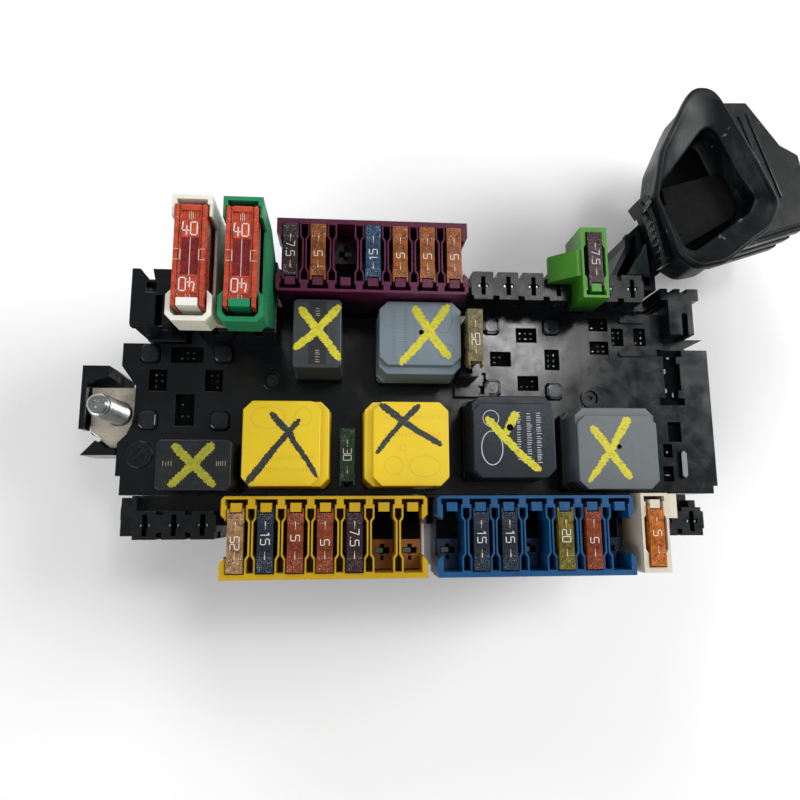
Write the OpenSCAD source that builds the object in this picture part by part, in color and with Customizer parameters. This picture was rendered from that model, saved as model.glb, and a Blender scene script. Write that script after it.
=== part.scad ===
// Fuse and relay panel: a black plug-in module with three seven-way fuse carriers,
// two tall maxi fuses, seven relays, a power stud and a harness duct with a rubber boot.
// The origin is the centre of the underside, +X runs along the fuse rows, +Z is up.

/* [Panel] */
// Length of the upper housing
panel_l = 210; // [208:1:214]
// Width of the upper housing between the two fuse rows
panel_w = 66; // [65.6:0.2:67]
// Height of the flat upper face above the underside
panel_h = 44; // [40:1:60]
// Wall thickness of the two housings
wall = 2; // [1.6:0.2:2.4]

/* [Fuse rows] */
// Spacing of the fuse positions
pitch = 8.8; // [8.6:0.1:9]
// Height of the terminal blocks above the upper face
block_h = 15; // [13:1:17]
// Height of the carrier rims above the upper face
rim_h = 26; // [24:1:28]
// Length of a seven-way carrier
carrier_l = 61.8; // [61:0.2:62.6]
// Width of a seven-way carrier
carrier_w = 24.4; // [24:0.2:25]
// Wall thickness of the carriers
carrier_wall = 1.2; // [0.8:0.1:1.4]

/* [Blade fuses] */
// Length of a standard blade fuse body
fuse_l = 19; // [18.6:0.1:19.2]
// Thickness of a standard blade fuse body
fuse_t = 5.1; // [4.8:0.1:5.2]
// Height of a standard blade fuse body
fuse_h = 12; // [11:0.5:12.5]
// Length of a maxi fuse body
maxi_l = 29.2; // [28.8:0.1:29.4]
// Thickness of a maxi fuse body
maxi_t = 8.9; // [8.6:0.1:9]
// Height of a maxi fuse body
maxi_h = 21; // [19:0.5:22]
// Height of the maxi holders above the upper face
maxi_rim = 54; // [50:1:58]

/* [Relays] */
// Side of a square relay
relay_w = 27.8; // [27:0.2:28]
// Height of the square relays above the upper face
relay_top = 20; // [18:0.5:22]
// Long side of a narrow relay
micro_l = 23.4; // [22:0.2:23.8]
// Short side of a narrow relay
micro_w = 16.2; // [15:0.2:16.4]
// Height of the narrow relays above the upper face
micro_top = 22; // [20:0.5:24]

/* [Power stud] */
// Thread diameter of the supply stud
stud_d = 8; // [6:1:8]
// Height of the stud tip above the upper face
stud_top = 19; // [16:1:22]

/* [Hidden] */

eps = 0.01;                         // overlap that makes cuts clean
gap = 0.25;                         // clearance between fitted mouldings
deck = block_h + gap;               // underside of a carrier's cell walls
latch_floor = deck + 2.4;           // floor of the latch windows
half_l = panel_l / 2;
half_w = panel_w / 2;
plate_t = 2.6;                      // thickness of the upper face
skirt_h = 20;                       // depth of the upper housing's side walls
lower_h = 26;                       // height of the lower housing
board_z = 27;                       // underside of the circuit board
board_t = 1.6;
pocket_d = 2;                       // depth of the relay socket recesses

// Row centre lines and carrier centres
rear_row_y = 42.6;
front_row_y = -46.2;
purple_x = -20.1;
yellow_x = -34.3;
blue_x = 30.6;
fuse_shift = 0.8;                   // fuses sit this far towards the outside of a carrier
green_x = 53.6;
cream_x = 68.4;
cream_y = -45.6;
single_w = 8.8;                     // width of a one-way carrier
block_in = 9.3;                     // reach of a block under a carrier, towards the panel
block_out = 10.7;                   // and away from it
white_maxi_x = -71.1;
green_maxi_x = -57.3;
maxi_y = 29.2;
maxi_seat = 34;                     // height of the seat under a maxi fuse
riser_h = 17;                       // height of the black block under the maxi holders
holder_w = 10.9;
holder_l = 34;
maxi_shift = 1;                     // the maxi fuse sits this far behind the holder's centre

// Relay centres [x, y]
yellow1_at = [-47.2, -17.4];
yellow2_at = [-8.9, -17.4];
black_at = [26, -14.9];
grey_at = [60.4, -18.6];
blue_grey_at = [-4.3, 17.6];
narrow_rear_at = [-37.8, 17.8];
narrow_front_at = [-74.7, -24.3];
socket1_at = [-83.3, 5.8];
socket2_at = [36.8, 15.2];
relay_lift = 1.5;                   // relays rest on bosses this high
blue_grey_l = relay_w - 2.8;        // the blue-grey relay ends at the purple carrier's wall
skirt_z = 3.2;                      // lower edge of the seven-way carriers' skirts
single_skirt_z = 11;                // and of the one-way carriers' skirts

green_fuse_at = [-27.8, -21];
clear_fuse_at = [13.2, 16.8];
clear_seat = 12.5;                  // height of the clear fuse's pedestal

stud_at = [-105.7, -5.2];
busbar_top = -3;                    // top of the supply busbar from the upper face
busbar_t = 2;

blade_gap = 12.2;                   // spacing of a standard fuse's two blades
maxi_blade_at = 9.2;                // half spacing of a maxi fuse's blades
terminal_span = 8.5;                // half spacing of a square relay's terminals
screws_at = [[-53.8, 6.5], [59.5, 1.2]];

module at(p, z = 0) { translate([p[0], p[1], panel_h + z]) children(); }

// Box from its centre in plan, between two heights
module slab(size, z0, z1) {
    translate([-size[0] / 2, -size[1] / 2, z0]) cube([size[0], size[1], z1 - z0]);
}

module ring_of(size, t, z0, z1) {
    difference() {
        slab(size, z0, z1);
        slab([size[0] - 2 * t, size[1] - 2 * t], z0 - eps, z1 + eps);
    }
}

// Rectangle with 45 degree corners
module chamfered(size, c) {
    x = size[0] / 2;
    y = size[1] / 2;
    polygon([[-x + c, -y], [x - c, -y], [x, -y + c], [x, y - c],
             [x - c, y], [-x + c, y], [-x, y - c], [-x, -y + c]]);
}

// ---------- housings ----------

// Plan of the upper face, with the cut-out beside the power stud
module panel_outline(inset = 0) {
    l = half_l - inset;
    w = half_w - inset;
    corner = 1.6;
    neck = l - 5;
    polygon([[-l, 19 - inset], [-l, 11 + inset], [-neck, 4], [-neck, -5], [-neck - 0.6, -9],
             [-neck - 2.2, -12.6], [-l, -15.6 - inset], [-l, -26.6], [-l + corner, -26.6],
             [-l + corner, -w], [l - corner, -w], [l - corner, -30.3], [l, -30.3],
             [l, 19.6 - inset], [88 - inset, 19.6 - inset], [88 - inset, w], [-51.4 - inset, w],
             [-51.4 - inset, 47 - inset], [-82 + inset, 47 - inset], [-82 + inset, 19 - inset]]);
}

// Recess of a relay socket with its narrow blade slot
module socket_recess(at_xy, size) {
    slot = 1.8;
    translate([at_xy[0], at_xy[1], 0]) {
        slab(size, panel_h - pocket_d, panel_h + eps);
        slab(size[0] > size[1] ? [size[0] - 1.6, slot] : [slot, size[1] - 1.6],
             panel_h - plate_t - eps, panel_h);
    }
}

module square_socket(c) {
    socket_recess([c[0] - 9.4, c[1] + 0.3], [6, 7.6]);
    socket_recess([c[0] + 9.4, c[1] + 0.3], [6, 7.6]);
    socket_recess([c[0], c[1] + 9.3], [11, 5.6]);
    socket_recess([c[0], c[1] - 10], [6.4, 11]);
}

module cross_socket(c) {
    socket_recess([c[0], c[1] + 9], [7.6, 5.4]);
    socket_recess([c[0] - 9.8, c[1]], [7.6, 5.4]);
    socket_recess([c[0] + 9.2, c[1]], [5.4, 7.6]);
    socket_recess([c[0], c[1] - 8.8], [7.6, 5.4]);
}

module side_socket() {
    socket_recess([63.9, 28.7], [7.2, 4.9]);
    socket_recess([63.9, 19.9], [7.2, 4.9]);
    socket_recess([71, 24.1], [4.5, 6.6]);
    socket_recess([79.5, 24.3], [4.5, 6.6]);
}

// Slots for the four blades under a fitted relay
module relay_slots(c, dx, dy) {
    for (s = [-1, 1]) {
        translate([c[0] + s * dx, c[1], 0]) slab([1.8, 8], 0, panel_h + relay_lift);
        translate([c[0], c[1] + s * dy, 0]) slab([8, 1.8], 0, panel_h + relay_lift);
    }
}

module boss(p, w = 6) {
    at(p) translate([0, 0, -eps]) linear_extrude(1.3) chamfered([w, w], w / 4);
}

module rib(p, size, h = 0.9) {
    at(p) translate([0, 0, -eps]) linear_extrude(h) chamfered(size, 0.6);
}

module upper_housing() {
    color([0.1, 0.11, 0.12]) difference() {
        union() {
            translate([0, 0, panel_h - plate_t]) linear_extrude(plate_t) panel_outline();
            translate([0, 0, panel_h - skirt_h]) linear_extrude(skirt_h) difference() {
                panel_outline();
                panel_outline(wall);
            }
            for (p = [[-12.3, 9.5], [12.4, 9.7], [-12, -13.6], [12, -13.8]])
                boss([socket1_at[0] + p[0], socket1_at[1] + p[1]]);
            for (p = [[-13.1, 12], [9.2, 12.2], [-13.3, -10.8], [9.3, -11.8]])
                boss([socket2_at[0] + p[0], socket2_at[1] + p[1]], 5.6);
            for (c = [yellow1_at, yellow2_at, black_at, grey_at, blue_grey_at])
                for (sx = [-1, 1], sy = [-1, 1]) boss([c[0] + sx * 9.6, c[1] + sy * 9.8], 4);
            for (c = [narrow_rear_at, narrow_front_at])
                for (s = [-1, 1]) boss([c[0] + s * 4, c[1] + s * 4], 3);
            rib([76.8, 30.4], [10, 2.2]);
            rib([76, 17.9], [10, 2.2]);
            rib([92.5, -22.6], [2.2, 10], 1.4);
            // slotted strip in front of the clear fuse
            at([clear_fuse_at[0] + 2.6, 2.6]) slab([12, 3.2], -eps, 2.4);
            // raised ring round each housing screw and the date dial
            for (p = screws_at)
                at(p) translate([0, 0, -eps]) cylinder(h = 0.7, r = 3.6, $fn = 12);
            at([-97.6, -19.4]) translate([0, 0, -eps]) cylinder(h = 0.5, r = 4.6, $fn = 12);
        }
        square_socket(socket1_at);
        cross_socket(socket2_at);
        side_socket();
        for (c = [yellow1_at, yellow2_at, black_at, grey_at, blue_grey_at])
            relay_slots(c, terminal_span, terminal_span);
        relay_slots(narrow_rear_at, 5, 8.6);
        relay_slots(narrow_front_at, 8.6, 5);
        for (p = [green_fuse_at, clear_fuse_at])
            for (s = [-1, 1]) translate([p[0], p[1] + s * blade_gap / 2, 0])
                slab([1.7, 6.6], 0, panel_h + eps);
        // screw seats
        for (p = screws_at) at(p) {
            translate([0, 0, -1.6]) cylinder(h = 3, r = 2.7, $fn = 12);
            translate([0, 0, -6]) cylinder(h = 6, r = 1.6, $fn = 12);
        }
        // long stepped slot and test windows in the right-hand column
        at([90.4, 9.2]) slab([5, 20], -pocket_d, eps);
        at([90.4, 18.4]) slab([9.4, 2.6], -pocket_d, eps);
        at([90.4, 0.2]) slab([9.4, 2.6], -pocket_d, eps);
        at([92.6, 9.4]) slab([3, 10], -pocket_d, eps);
        at([90.3, -10.9]) slab([5, 7.2], -pocket_d, eps);
        at([87.3, -17.7]) slab([3.4, 4.8], -pocket_d, eps);
        at([87, -26]) slab([3.8, 5.4], -pocket_d, eps);
        for (y = [3.6, 8.4]) at([18.6 + y / 4, y]) slab([1.6, 3.4], -pocket_d, 3);
        // passage for the supply busbar in the left wall
        translate([-half_l - 1, -18, panel_h + busbar_top - busbar_t - 1.2])
            cube([8 + wall, 22.4, busbar_t + 1.6]);
    }
}

// Pedestal under the clear fuse
module fuse_pedestal() {
    color([0.1, 0.11, 0.12]) at(clear_fuse_at) difference() {
        slab([6.8, 21], 0, clear_seat - 0.3);
        for (s = [-1, 1]) translate([0, s * blade_gap / 2, 0]) slab([1.7, 6.6], -eps, clear_seat);
    }
}

// Space that the guide towers take at the rear corners
module corner_cuts(z0, z1) {
    translate([-half_l, 16.4, z0]) cube([27, half_w, z1 - z0]);
    translate([84, 16.4, z0]) cube([half_l - 84, half_w, z1 - z0]);
}

// The lower housing stands on its flat underside and has four plug ports
port_size = [40, 20];
port_x = [-72, -24, 24, 72];
port_depth = 13;

module lower_housing() {
    l = 2 * (half_l - 7.4);
    w = panel_w - 2 * wall - 2 * gap;
    color([0.08, 0.085, 0.09]) difference() {
        slab([l, w], 0, lower_h);
        difference() {
            slab([l - 2 * wall, w - 2 * wall], wall, lower_h + eps);
            for (x = port_x) translate([x, 0, 0])
                slab([port_size[0] + 2 * wall, port_size[1] + 2 * wall], 0, port_depth + wall);
        }
        for (x = port_x) translate([x, 0, 0]) slab(port_size, -eps, port_depth);
        // latch windows for the plugs and slots for the pins
        for (x = port_x) translate([x, 0, 0]) for (i = [-3.5:3.5], s = [-1, 1])
            translate([i * 4.6, s * 4, 0]) slab([1.4, 1.4], port_depth - 1, port_depth + wall + 1);
        corner_cuts(panel_h - skirt_h - gap, lower_h + eps);
    }
}

module connector_pins() {
    color([0.75, 0.72, 0.62]) for (x = port_x, i = [-3.5:3.5], s = [-1, 1])
        translate([x + i * 4.6, s * 4, 0]) slab([0.9, 0.9], port_depth - 6, board_z);
}

module circuit_board() {
    color([0.1, 0.3, 0.16]) difference() {
        slab([2 * half_l - 20, panel_w - 10], board_z, board_z + board_t);
        corner_cuts(board_z - eps, board_z + board_t + eps);
    }
}

// Tinned strip from the stud into the housing, stepping down to the board
module supply_busbar() {
    z = panel_h + busbar_top;
    color([0.78, 0.76, 0.7]) difference() {
        union() {
            translate([0, 0, z - busbar_t]) linear_extrude(busbar_t)
                polygon([[-115.4, 3.8], [-88, 3.8], [-88, -17], [-108, -17],
                         [-115, -11.4]]);
            translate([-90, -17, board_z + board_t]) cube([2, 20.8, z - board_z - board_t - eps]);
        }
        translate([stud_at[0], stud_at[1], 0]) cylinder(h = panel_h, d = stud_d + 0.4, $fn = 48);
    }
}

module supply_stud() {
    z = panel_h + busbar_top;
    neck = 0.5;
    shank = 20;
    color([0.7, 0.72, 0.74]) translate([stud_at[0], stud_at[1], 0]) {
        translate([0, 0, z - busbar_t - 5]) cylinder(h = 5, d = 10.8, $fn = 48);
        translate([0, 0, z - busbar_t - eps])
            cylinder(h = busbar_t + neck + eps, d = stud_d - 0.6, $fn = 48);
        translate([0, 0, z + neck]) cylinder(h = shank - neck, d = stud_d, $fn = 48);
        translate([0, 0, z + shank - eps])
            cylinder(h = stud_top - busbar_top - shank, d = stud_d - 1.8, $fn = 48);
    }
}

// Black cradle that holds the stud's head and the outer end of the busbar
module supply_bracket() {
    z = panel_h + busbar_top - busbar_t;
    color([0.09, 0.1, 0.11]) difference() {
        union() {
            translate([0, 0, z - 11]) linear_extrude(11 - 0.1)
                polygon([[-117.6, 10.6], [-108.4, 10.6], [-105.3, 8], [-105.3, -19.6],
                         [-117.2, -19.6], [-112, -14], [-115.4, -12], [-117.6, 0]]);
            translate([0, 0, z - 0.2]) linear_extrude(6)
                polygon([[-117.6, 10.8], [-108.8, 10.8], [-108.8, 7], [-113.2, 5.6],
                         [-115.8, 4.4], [-116, -11], [-117.6, -11]]);
            translate([0, 0, z - 0.2]) linear_extrude(4.2)
                polygon([[-117.2, -19.6], [-112.6, -14.6], [-108.6, -17.4], [-105.8, -17.4],
                         [-105.8, -19.6]]);
        }
        translate([stud_at[0], stud_at[1], 0]) cylinder(h = z, d = 11.6, $fn = 12);
    }
}

module housing_screws() {
    color([0.3, 0.31, 0.33]) for (p = screws_at) at(p) difference() {
        union() {
            translate([0, 0, -1.6]) cylinder(h = 1.5, r = 2.4, $fn = 36);
            translate([0, 0, -14]) cylinder(h = 13, r = 1.3, $fn = 36);
        }
        for (a = [0:60:120]) rotate(a) slab([1.9, 0.7], -0.9, 1);
    }
}

// ---------- terminal blocks ----------

// Slot that takes one fuse blade, crossed by the spring contact
module blade_slot(h) {
    slab([1.5, 6.6], h - 9, h + eps);
    slab([3.6, 1.3], h - 2.4, h + eps);
}

// Castellated block over a run of positions: body, notches between the positions, slots
module terminal_run(n, depth, low) {
    w = n * pitch;
    difference() {
        slab([w - 0.6, depth], low, block_h);
        for (i = [0:n]) translate([(i - n / 2) * pitch, 0, 0]) {
            translate([0, -depth / 2, 0]) slab([2.2, 2.6], block_h - 7, block_h + eps);
            translate([0, depth / 2, 0]) slab([1.6, 4.4], block_h - 9, block_h + eps);
        }
        for (i = [0:n - 1]) translate([(i - n / 2 + 0.5) * pitch, 0, 0]) blade_slot(block_h);
    }
}

// Slot under a fitted fuse
module fitted_slot(h) {
    slab([1.5, 5.5], h - 9, h + eps);
}

// Block under a carrier with n positions and two slots for each fuse, outer side on +Y
module carrier_block(n) {
    difference() {
        translate([-(n * pitch - 2.4) / 2, -block_in, -skirt_h])
            cube([n * pitch - 2.4, block_in + block_out, skirt_h + block_h]);
        for (i = [1:n], s = [-1, 1])
            translate([(i - (n + 1) / 2) * pitch, fuse_shift + s * blade_gap / 2, 0])
                fitted_slot(block_h);
        for (i = [0:n]) translate([(i - n / 2) * pitch, block_out, 0])
            slab([1.8, 2.6], 4, block_h + eps);
    }
}

// Bridge that joins a row of blocks to the side of the housing
module row_bridge(x0, x1, y0, y1) {
    translate([x0, y0, -skirt_h]) cube([x1 - x0, y1 - y0, skirt_h + 3]);
}

module rear_terminal_block() {
    color([0.1, 0.105, 0.115]) at([0, 0]) difference() {
        union() {
            translate([purple_x, rear_row_y, 0]) carrier_block(7);
            translate([31.4, 37.6, 0]) terminal_run(4, 9.8, -skirt_h);
            translate([66.6, 37.6, 0]) terminal_run(2, 9.8, -skirt_h);
            translate([green_x, rear_row_y, 0]) carrier_block(1);
            row_bridge(-49.4, 9.4, half_w + gap, 40);
            row_bridge(9, 80, half_w + gap, 41);
        }
        // the runs overhang the side of the housing
        slab([panel_l, panel_w + 0.2], -skirt_h - 1, 0.05);
    }
}

module front_left_terminal_block() {
    color([0.1, 0.105, 0.115]) at([0, 0]) {
        translate([yellow_x, front_row_y, 0]) rotate(180) carrier_block(7);
        translate([-81.4, -42.6, 0]) rotate(180) terminal_run(3, 8.8, -skirt_h);
        // stepped guide rib at the left end
        translate([-99, -46, -skirt_h]) cube([4.6, 12, skirt_h + 10]);
        translate([-99.8, -41, -skirt_h]) cube([2, 4, skirt_h + 8]);
        row_bridge(-98, -5, -43, -half_w - gap);
    }
}

module front_right_terminal_block() {
    color([0.1, 0.105, 0.115]) at([0, 0]) {
        translate([blue_x, front_row_y, 0]) rotate(180) carrier_block(7);
        translate([cream_x, cream_y, 0]) rotate(180) carrier_block(1);
        translate([81.8, -42.4, 0]) rotate(180) terminal_run(2, 9.2, -skirt_h);
        translate([89.5, -41, -skirt_h]) cube([2.6, 5.6, skirt_h + 7]);
        row_bridge(-1, 91, -43, -half_w - gap);
    }
}

// Hollow guide towers for the cover of the engine-bay box
module left_guide_tower() {
    color([0.1, 0.11, 0.12]) at([-90.2, 28.9]) difference() {
        union() {
            slab([12.4, 18.2], -skirt_h, 22);
            translate([0, 0, 20.6]) slab([13, 19], -3, 0);
            translate([0.4, -8.3, 0]) slab([12.8, 2.6], -skirt_h, 2);
        }
        translate([2.6, -4.4, 0]) slab([2.2, 9.8], 14, 23);
        // angled notch in the rear edge
        translate([0, 0, 12]) linear_extrude(11)
            polygon([[-4.4, 10], [0, 10], [1, 5.4], [-0.6, 5.4]]);
        translate([0, 3, 0]) slab([3.4, 3.4], 18.6, 23);
    }
}

module right_guide_tower() {
    color([0.1, 0.11, 0.12]) at([92.8, 31]) difference() {
        union() {
            slab([9.2, 14.4], -skirt_h, 6);
            translate([0, 8, 0]) slab([14.4, 4.4], -skirt_h, 6);
            // pointed fin at the front
            translate([0, 0, -4]) linear_extrude(2)
                polygon([[2, -6.9], [12, -6.9], [3.6, -11], [-2, -11], [-2, -6.9]]);
            translate([0, -9.2, 0]) slab([9.2, 4.1], -skirt_h, -2);
        }
        translate([1.4, -3.2, 0]) slab([2, 8], -4, 7);
        for (x = [-3.2, 1.6]) translate([x, 10.6, 0]) slab([2.4, 3.6], -6, 7);
    }
}

// Spring contacts that show as bright tips in the open slots
module clip(h) {
    for (s = [-1, 1]) translate([s * 1.3, 0, 0]) slab([0.6, 0.9], h - 2, h - 0.5);
}

module terminal_clips() {
    color([0.8, 0.82, 0.84]) at([0, 0]) {
        for (i = [0:3]) translate([18.2 + i * pitch, 37.6, block_h]) clip(0);
        for (i = [0:1]) translate([62.2 + i * pitch, 37.6, block_h]) clip(0);
        for (i = [-1:1]) translate([-81.4 + i * pitch, -42.6, block_h]) clip(0);
        for (i = [0:1]) translate([77.4 + i * pitch, -42.4, block_h]) clip(0);
    }
}

// ---------- carriers ----------

// Plan of a cell: as wide as the fuse at its ends, wider between them for the fingers,
// and open to the latch window at -Y
module cell_plan() {
    w = fuse_t / 2 + 0.3;
    belly = w + 0.8;
    y0 = fuse_shift - fuse_l / 2 - 0.3;
    y1 = fuse_shift + fuse_l / 2 + 0.3;
    polygon([[-w, y0 - 0.9], [w, y0 - 0.9], [w, -5.6], [belly, -4.4], [belly, 5], [w, 6.2],
             [w, y1], [-w, y1], [-w, 6.2], [-belly, 5], [-belly, -4.4], [-w, -5.6]]);
}

// Dead space between two cells, with the waist that the bellies leave
module gap_plan() {
    w = pitch / 2 - fuse_t / 2 - 0.3 - 0.5;
    waist = w - 0.8;
    y0 = fuse_shift - fuse_l / 2 + 0.2;
    y1 = fuse_shift + fuse_l / 2;
    polygon([[-w, y0], [w, y0], [w, -5.9], [waist, -4.7], [waist, 5.3], [w, 6.5], [w, y1],
             [-w, y1], [-w, 6.5], [-waist, 5.3], [-waist, -4.7], [-w, -5.9]]);
}

module latch_window() {
    translate([-3.35, -carrier_w / 2 + 0.9]) square([6.7, 1.7]);
}

// Tongue of the latch, standing in the groove of the fuse's end
module latch_tab() {
    y0 = fuse_shift - fuse_l / 2 - 0.3;
    translate([0, y0 + 0.15, 0]) slab([3.3, 2.7], latch_floor - eps, rim_h + 0.4);
    translate([0, y0 - 0.9, 0]) slab([6.5, 1.8], latch_floor - 1.8, latch_floor);
}

// Outline of a carrier of length l: the ends step in between the corners
module carrier_plan(l) {
    x = l / 2;
    y = carrier_w / 2;
    step = 1.2;
    c = 0.9;
    polygon([[-x, -y + c], [-x + c, -y], [x - c, -y], [x, -y + c], [x, -6.6], [x - step, -5.4],
             [x - step, 6], [x, 7.2], [x, y], [-x, y], [-x, 7.2], [-x + step, 6],
             [-x + step, -5.4], [-x, -6.6]]);
}

// Seven-way carrier: its latch ledge is on the -Y side
module carrier() {
    difference() {
        union() {
            translate([0, 0, deck - 0.6]) linear_extrude(rim_h - deck + 0.6)
                carrier_plan(carrier_l);
            slab([carrier_l - 1.2, carrier_w], skirt_z, deck - 0.6 + eps);
        }
        slab([carrier_l - 2.4, carrier_w - 2 * carrier_wall], 2, deck);
        for (i = [-3:3]) translate([i * pitch, 0, 0]) {
            translate([0, 0, block_h]) linear_extrude(rim_h) cell_plan();
            translate([0, 0, latch_floor]) linear_extrude(rim_h) latch_window();
        }
        for (i = [-3:2]) translate([(i + 0.5) * pitch, 0, deck + 2])
            linear_extrude(rim_h) gap_plan();
    }
    for (i = [-3:3]) translate([i * pitch, 0, 0]) latch_tab();
}

module purple_carrier() {
    color([0.42, 0.1, 0.28]) at([purple_x, rear_row_y]) carrier();
}

module yellow_carrier() {
    color([0.93, 0.7, 0.05]) at([yellow_x, front_row_y]) rotate(180) carrier();
}

module blue_carrier() {
    color([0.1, 0.42, 0.72]) at([blue_x, front_row_y]) rotate(180) carrier();
}

// One-way carrier with a latch window at the inner end
module single_carrier() {
    difference() {
        slab([single_w, carrier_w], single_skirt_z, rim_h);
        slab([single_w - 2 * carrier_wall, carrier_w - 2 * carrier_wall], 2, deck);
        translate([0, 0, block_h]) linear_extrude(rim_h) cell_plan();
        translate([0, 0, latch_floor]) linear_extrude(rim_h) latch_window();
    }
    latch_tab();
}

module green_carrier() {
    color([0.25, 0.6, 0.1]) at([green_x, rear_row_y]) {
        single_carrier();
        // sloping grip web on the left
        translate([-single_w / 2 + eps, 4.5, 0]) rotate([90, 0, 0]) linear_extrude(9)
            polygon([[0, 16.5], [-9, 16.5], [-9, 18], [-1.4, rim_h - 1], [0, rim_h - 1]]);
    }
}

module cream_carrier() {
    color([0.85, 0.8, 0.66]) at([cream_x, cream_y]) rotate(180) {
        single_carrier();
        translate([-6.1, -8.2, 0]) slab([3.4, 7.6], rim_h - 8, rim_h - 1);
    }
}

// Tall maxi fuse holder: a foot that widens upwards, a U-shaped lip in front, low side walls
// and a latch tab that stands in the groove of the fuse
module maxi_holder() {
    front = -holder_l / 2;
    rear = holder_l / 2 + 1.6;
    low_wall = maxi_seat + 11;
    lip = [12.3, 9];
    lip_y = front + lip[1] / 2;
    difference() {
        union() {
            translate([-holder_w / 2, 0, 0]) rotate([90, 0, 90]) linear_extrude(holder_w)
                polygon([[front + 2, low_wall], [front + 2, low_wall - 2], [-9, riser_h + gap],
                         [13, riser_h + gap], [rear, maxi_seat - 2], [rear, maxi_rim],
                         [rear - 6.2, maxi_rim], [rear - 6.2, low_wall]]);
            translate([0, lip_y, low_wall - 2]) linear_extrude(maxi_rim - 1 - low_wall + 2)
                chamfered(lip, 1.7);
        }
        translate([0, maxi_shift, 0])
            slab([maxi_t + 0.6, maxi_l + 0.6], maxi_seat, maxi_rim + eps);
        translate([0, rear - 2.2, 0]) slab([holder_w - 2.6, 2], maxi_rim - 10, maxi_rim + eps);
        // recess in front of the fuse
        translate([0, lip_y + 0.6, low_wall - 1]) linear_extrude(maxi_rim)
            chamfered([lip[0] - 2.6, lip[1] - 1.6], 1.1);
        for (s = [-1, 1]) translate([0, maxi_shift + s * maxi_blade_at, 0])
            slab([1.6, 6.4], maxi_seat - 15, maxi_seat + eps);
        // window in the foot
        translate([0, -9.6, 0]) slab([6.4, 5], 20, 28);
    }
    translate([0, maxi_shift - maxi_l / 2 + 1.2, 0]) slab([5.6, 2.2], maxi_seat - eps, maxi_rim + 1.4);
}

// Black block under the two maxi holders
module maxi_riser() {
    color([0.1, 0.105, 0.115]) at([(white_maxi_x + green_maxi_x) / 2, maxi_y + 2]) difference() {
        slab([25.6, 24], 0.1, riser_h);
        slab([1.4, 25], riser_h - 6, riser_h + eps);
        for (x = [white_maxi_x, green_maxi_x], s = [-1, 1])
            translate([x - (white_maxi_x + green_maxi_x) / 2, maxi_shift - 2 + s * maxi_blade_at, 0])
                slab([2.2, 7], riser_h - 6, riser_h + eps);
    }
}

module white_maxi_holder() {
    color([0.86, 0.86, 0.82]) at([white_maxi_x, maxi_y]) maxi_holder();
}

module green_maxi_holder() {
    color([0.02, 0.5, 0.32]) at([green_maxi_x, maxi_y]) maxi_holder();
}

// ---------- fuses ----------

// Standard blade fuse standing on its seat: a cap over a waisted lower half, grooved at its
// -Y end for the latch, and two blades
module blade_fuse() {
    cap = 4.4;
    difference() {
        union() {
            translate([0, 0, fuse_h - cap]) linear_extrude(cap) chamfered([fuse_t, fuse_l], 0.5);
            slab([fuse_t - 1.2, fuse_l - 2.4], 0.1, fuse_h - cap + eps);
            slab([fuse_t - 0.4, 4.6], 0.1, fuse_h - cap + eps);
        }
        translate([0, -fuse_l / 2, 0]) slab([3.8, 3], -eps, fuse_h + eps);
    }
    for (s = [-1, 1]) translate([0, s * blade_gap / 2, 0]) slab([0.7, 4.2], -6.8, 1);
}

module maxi_fuse() {
    cap = 6;
    difference() {
        union() {
            slab([maxi_t, maxi_l], maxi_h - cap, maxi_h);
            slab([maxi_t - 1.6, maxi_l - 1.6], 0.2, maxi_h - cap + eps);
        }
        translate([0, -maxi_l / 2, 0]) slab([6.2, 5.2], -eps, maxi_h + eps);
    }
    for (s = [-1, 1]) translate([0, s * maxi_blade_at, 0]) slab([0.8, 5.4], -13, 1);
}

module purple_fuse(i) {
    at([purple_x + (i - 4) * pitch, rear_row_y + fuse_shift], block_h) blade_fuse();
}

module yellow_fuse(i) {
    at([yellow_x + (i - 4) * pitch, front_row_y - fuse_shift], block_h) rotate(180) blade_fuse();
}

module blue_fuse(i) {
    at([blue_x + (i - 4) * pitch, front_row_y - fuse_shift], block_h) rotate(180) blade_fuse();
}

// ---------- relays ----------

// Moulded relay: base, cover with a stepped edge and four blades
module relay_body(size, top, dx, dy) {
    step = 2.6;
    translate([0, 0, relay_lift]) linear_extrude(3) chamfered(size, 1.4);
    translate([0, 0, relay_lift + 3 - eps]) linear_extrude(top - relay_lift - 4.6)
        chamfered([size[0] - 0.5, size[1] - 0.5], 2.4);
    translate([0, -step / 2, top - 1.7]) linear_extrude(1.7)
        chamfered([size[0] - 0.5, size[1] - 0.5 - step], 2.6);
    for (s = [-1, 1]) {
        translate([s * dx, 0, 0]) slab([0.8, 6.3], -9.5, relay_lift + 1);
        translate([0, s * dy, 0]) slab([6.3, 0.8], -9.5, relay_lift + 1);
    }
}

module square_relay(turn) {
    rotate(turn) relay_body([relay_w, relay_w], relay_top, terminal_span, terminal_span);
}

module narrow_relay() {
    relay_body([micro_w, micro_l], micro_top, 5, 8.6);
}

module yellow_relay_1() { color([0.95, 0.78, 0.1]) at(yellow1_at) square_relay(270); }
module yellow_relay_2() { color([0.95, 0.78, 0.1]) at(yellow2_at) square_relay(90); }
module black_relay() { color([0.13, 0.14, 0.15]) at(black_at) square_relay(0); }
module grey_relay() { color([0.4, 0.42, 0.43]) at(grey_at) square_relay(0); }
module blue_grey_relay() {
    color([0.4, 0.46, 0.52]) at(blue_grey_at) rotate(180)
        relay_body([relay_w, blue_grey_l], relay_top, terminal_span, terminal_span);
}
module narrow_relay_rear() { color([0.2, 0.21, 0.22]) at(narrow_rear_at) narrow_relay(); }
module narrow_relay_front() { color([0.2, 0.21, 0.22]) at(narrow_front_at) rotate(90) narrow_relay(); }

// ---------- harness duct ----------

// Trough that leads the harness from the housing to the boot
arm_low = -18;
arm_top = 3.8;
boot_low = 4;
boot_top = 24;

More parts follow.
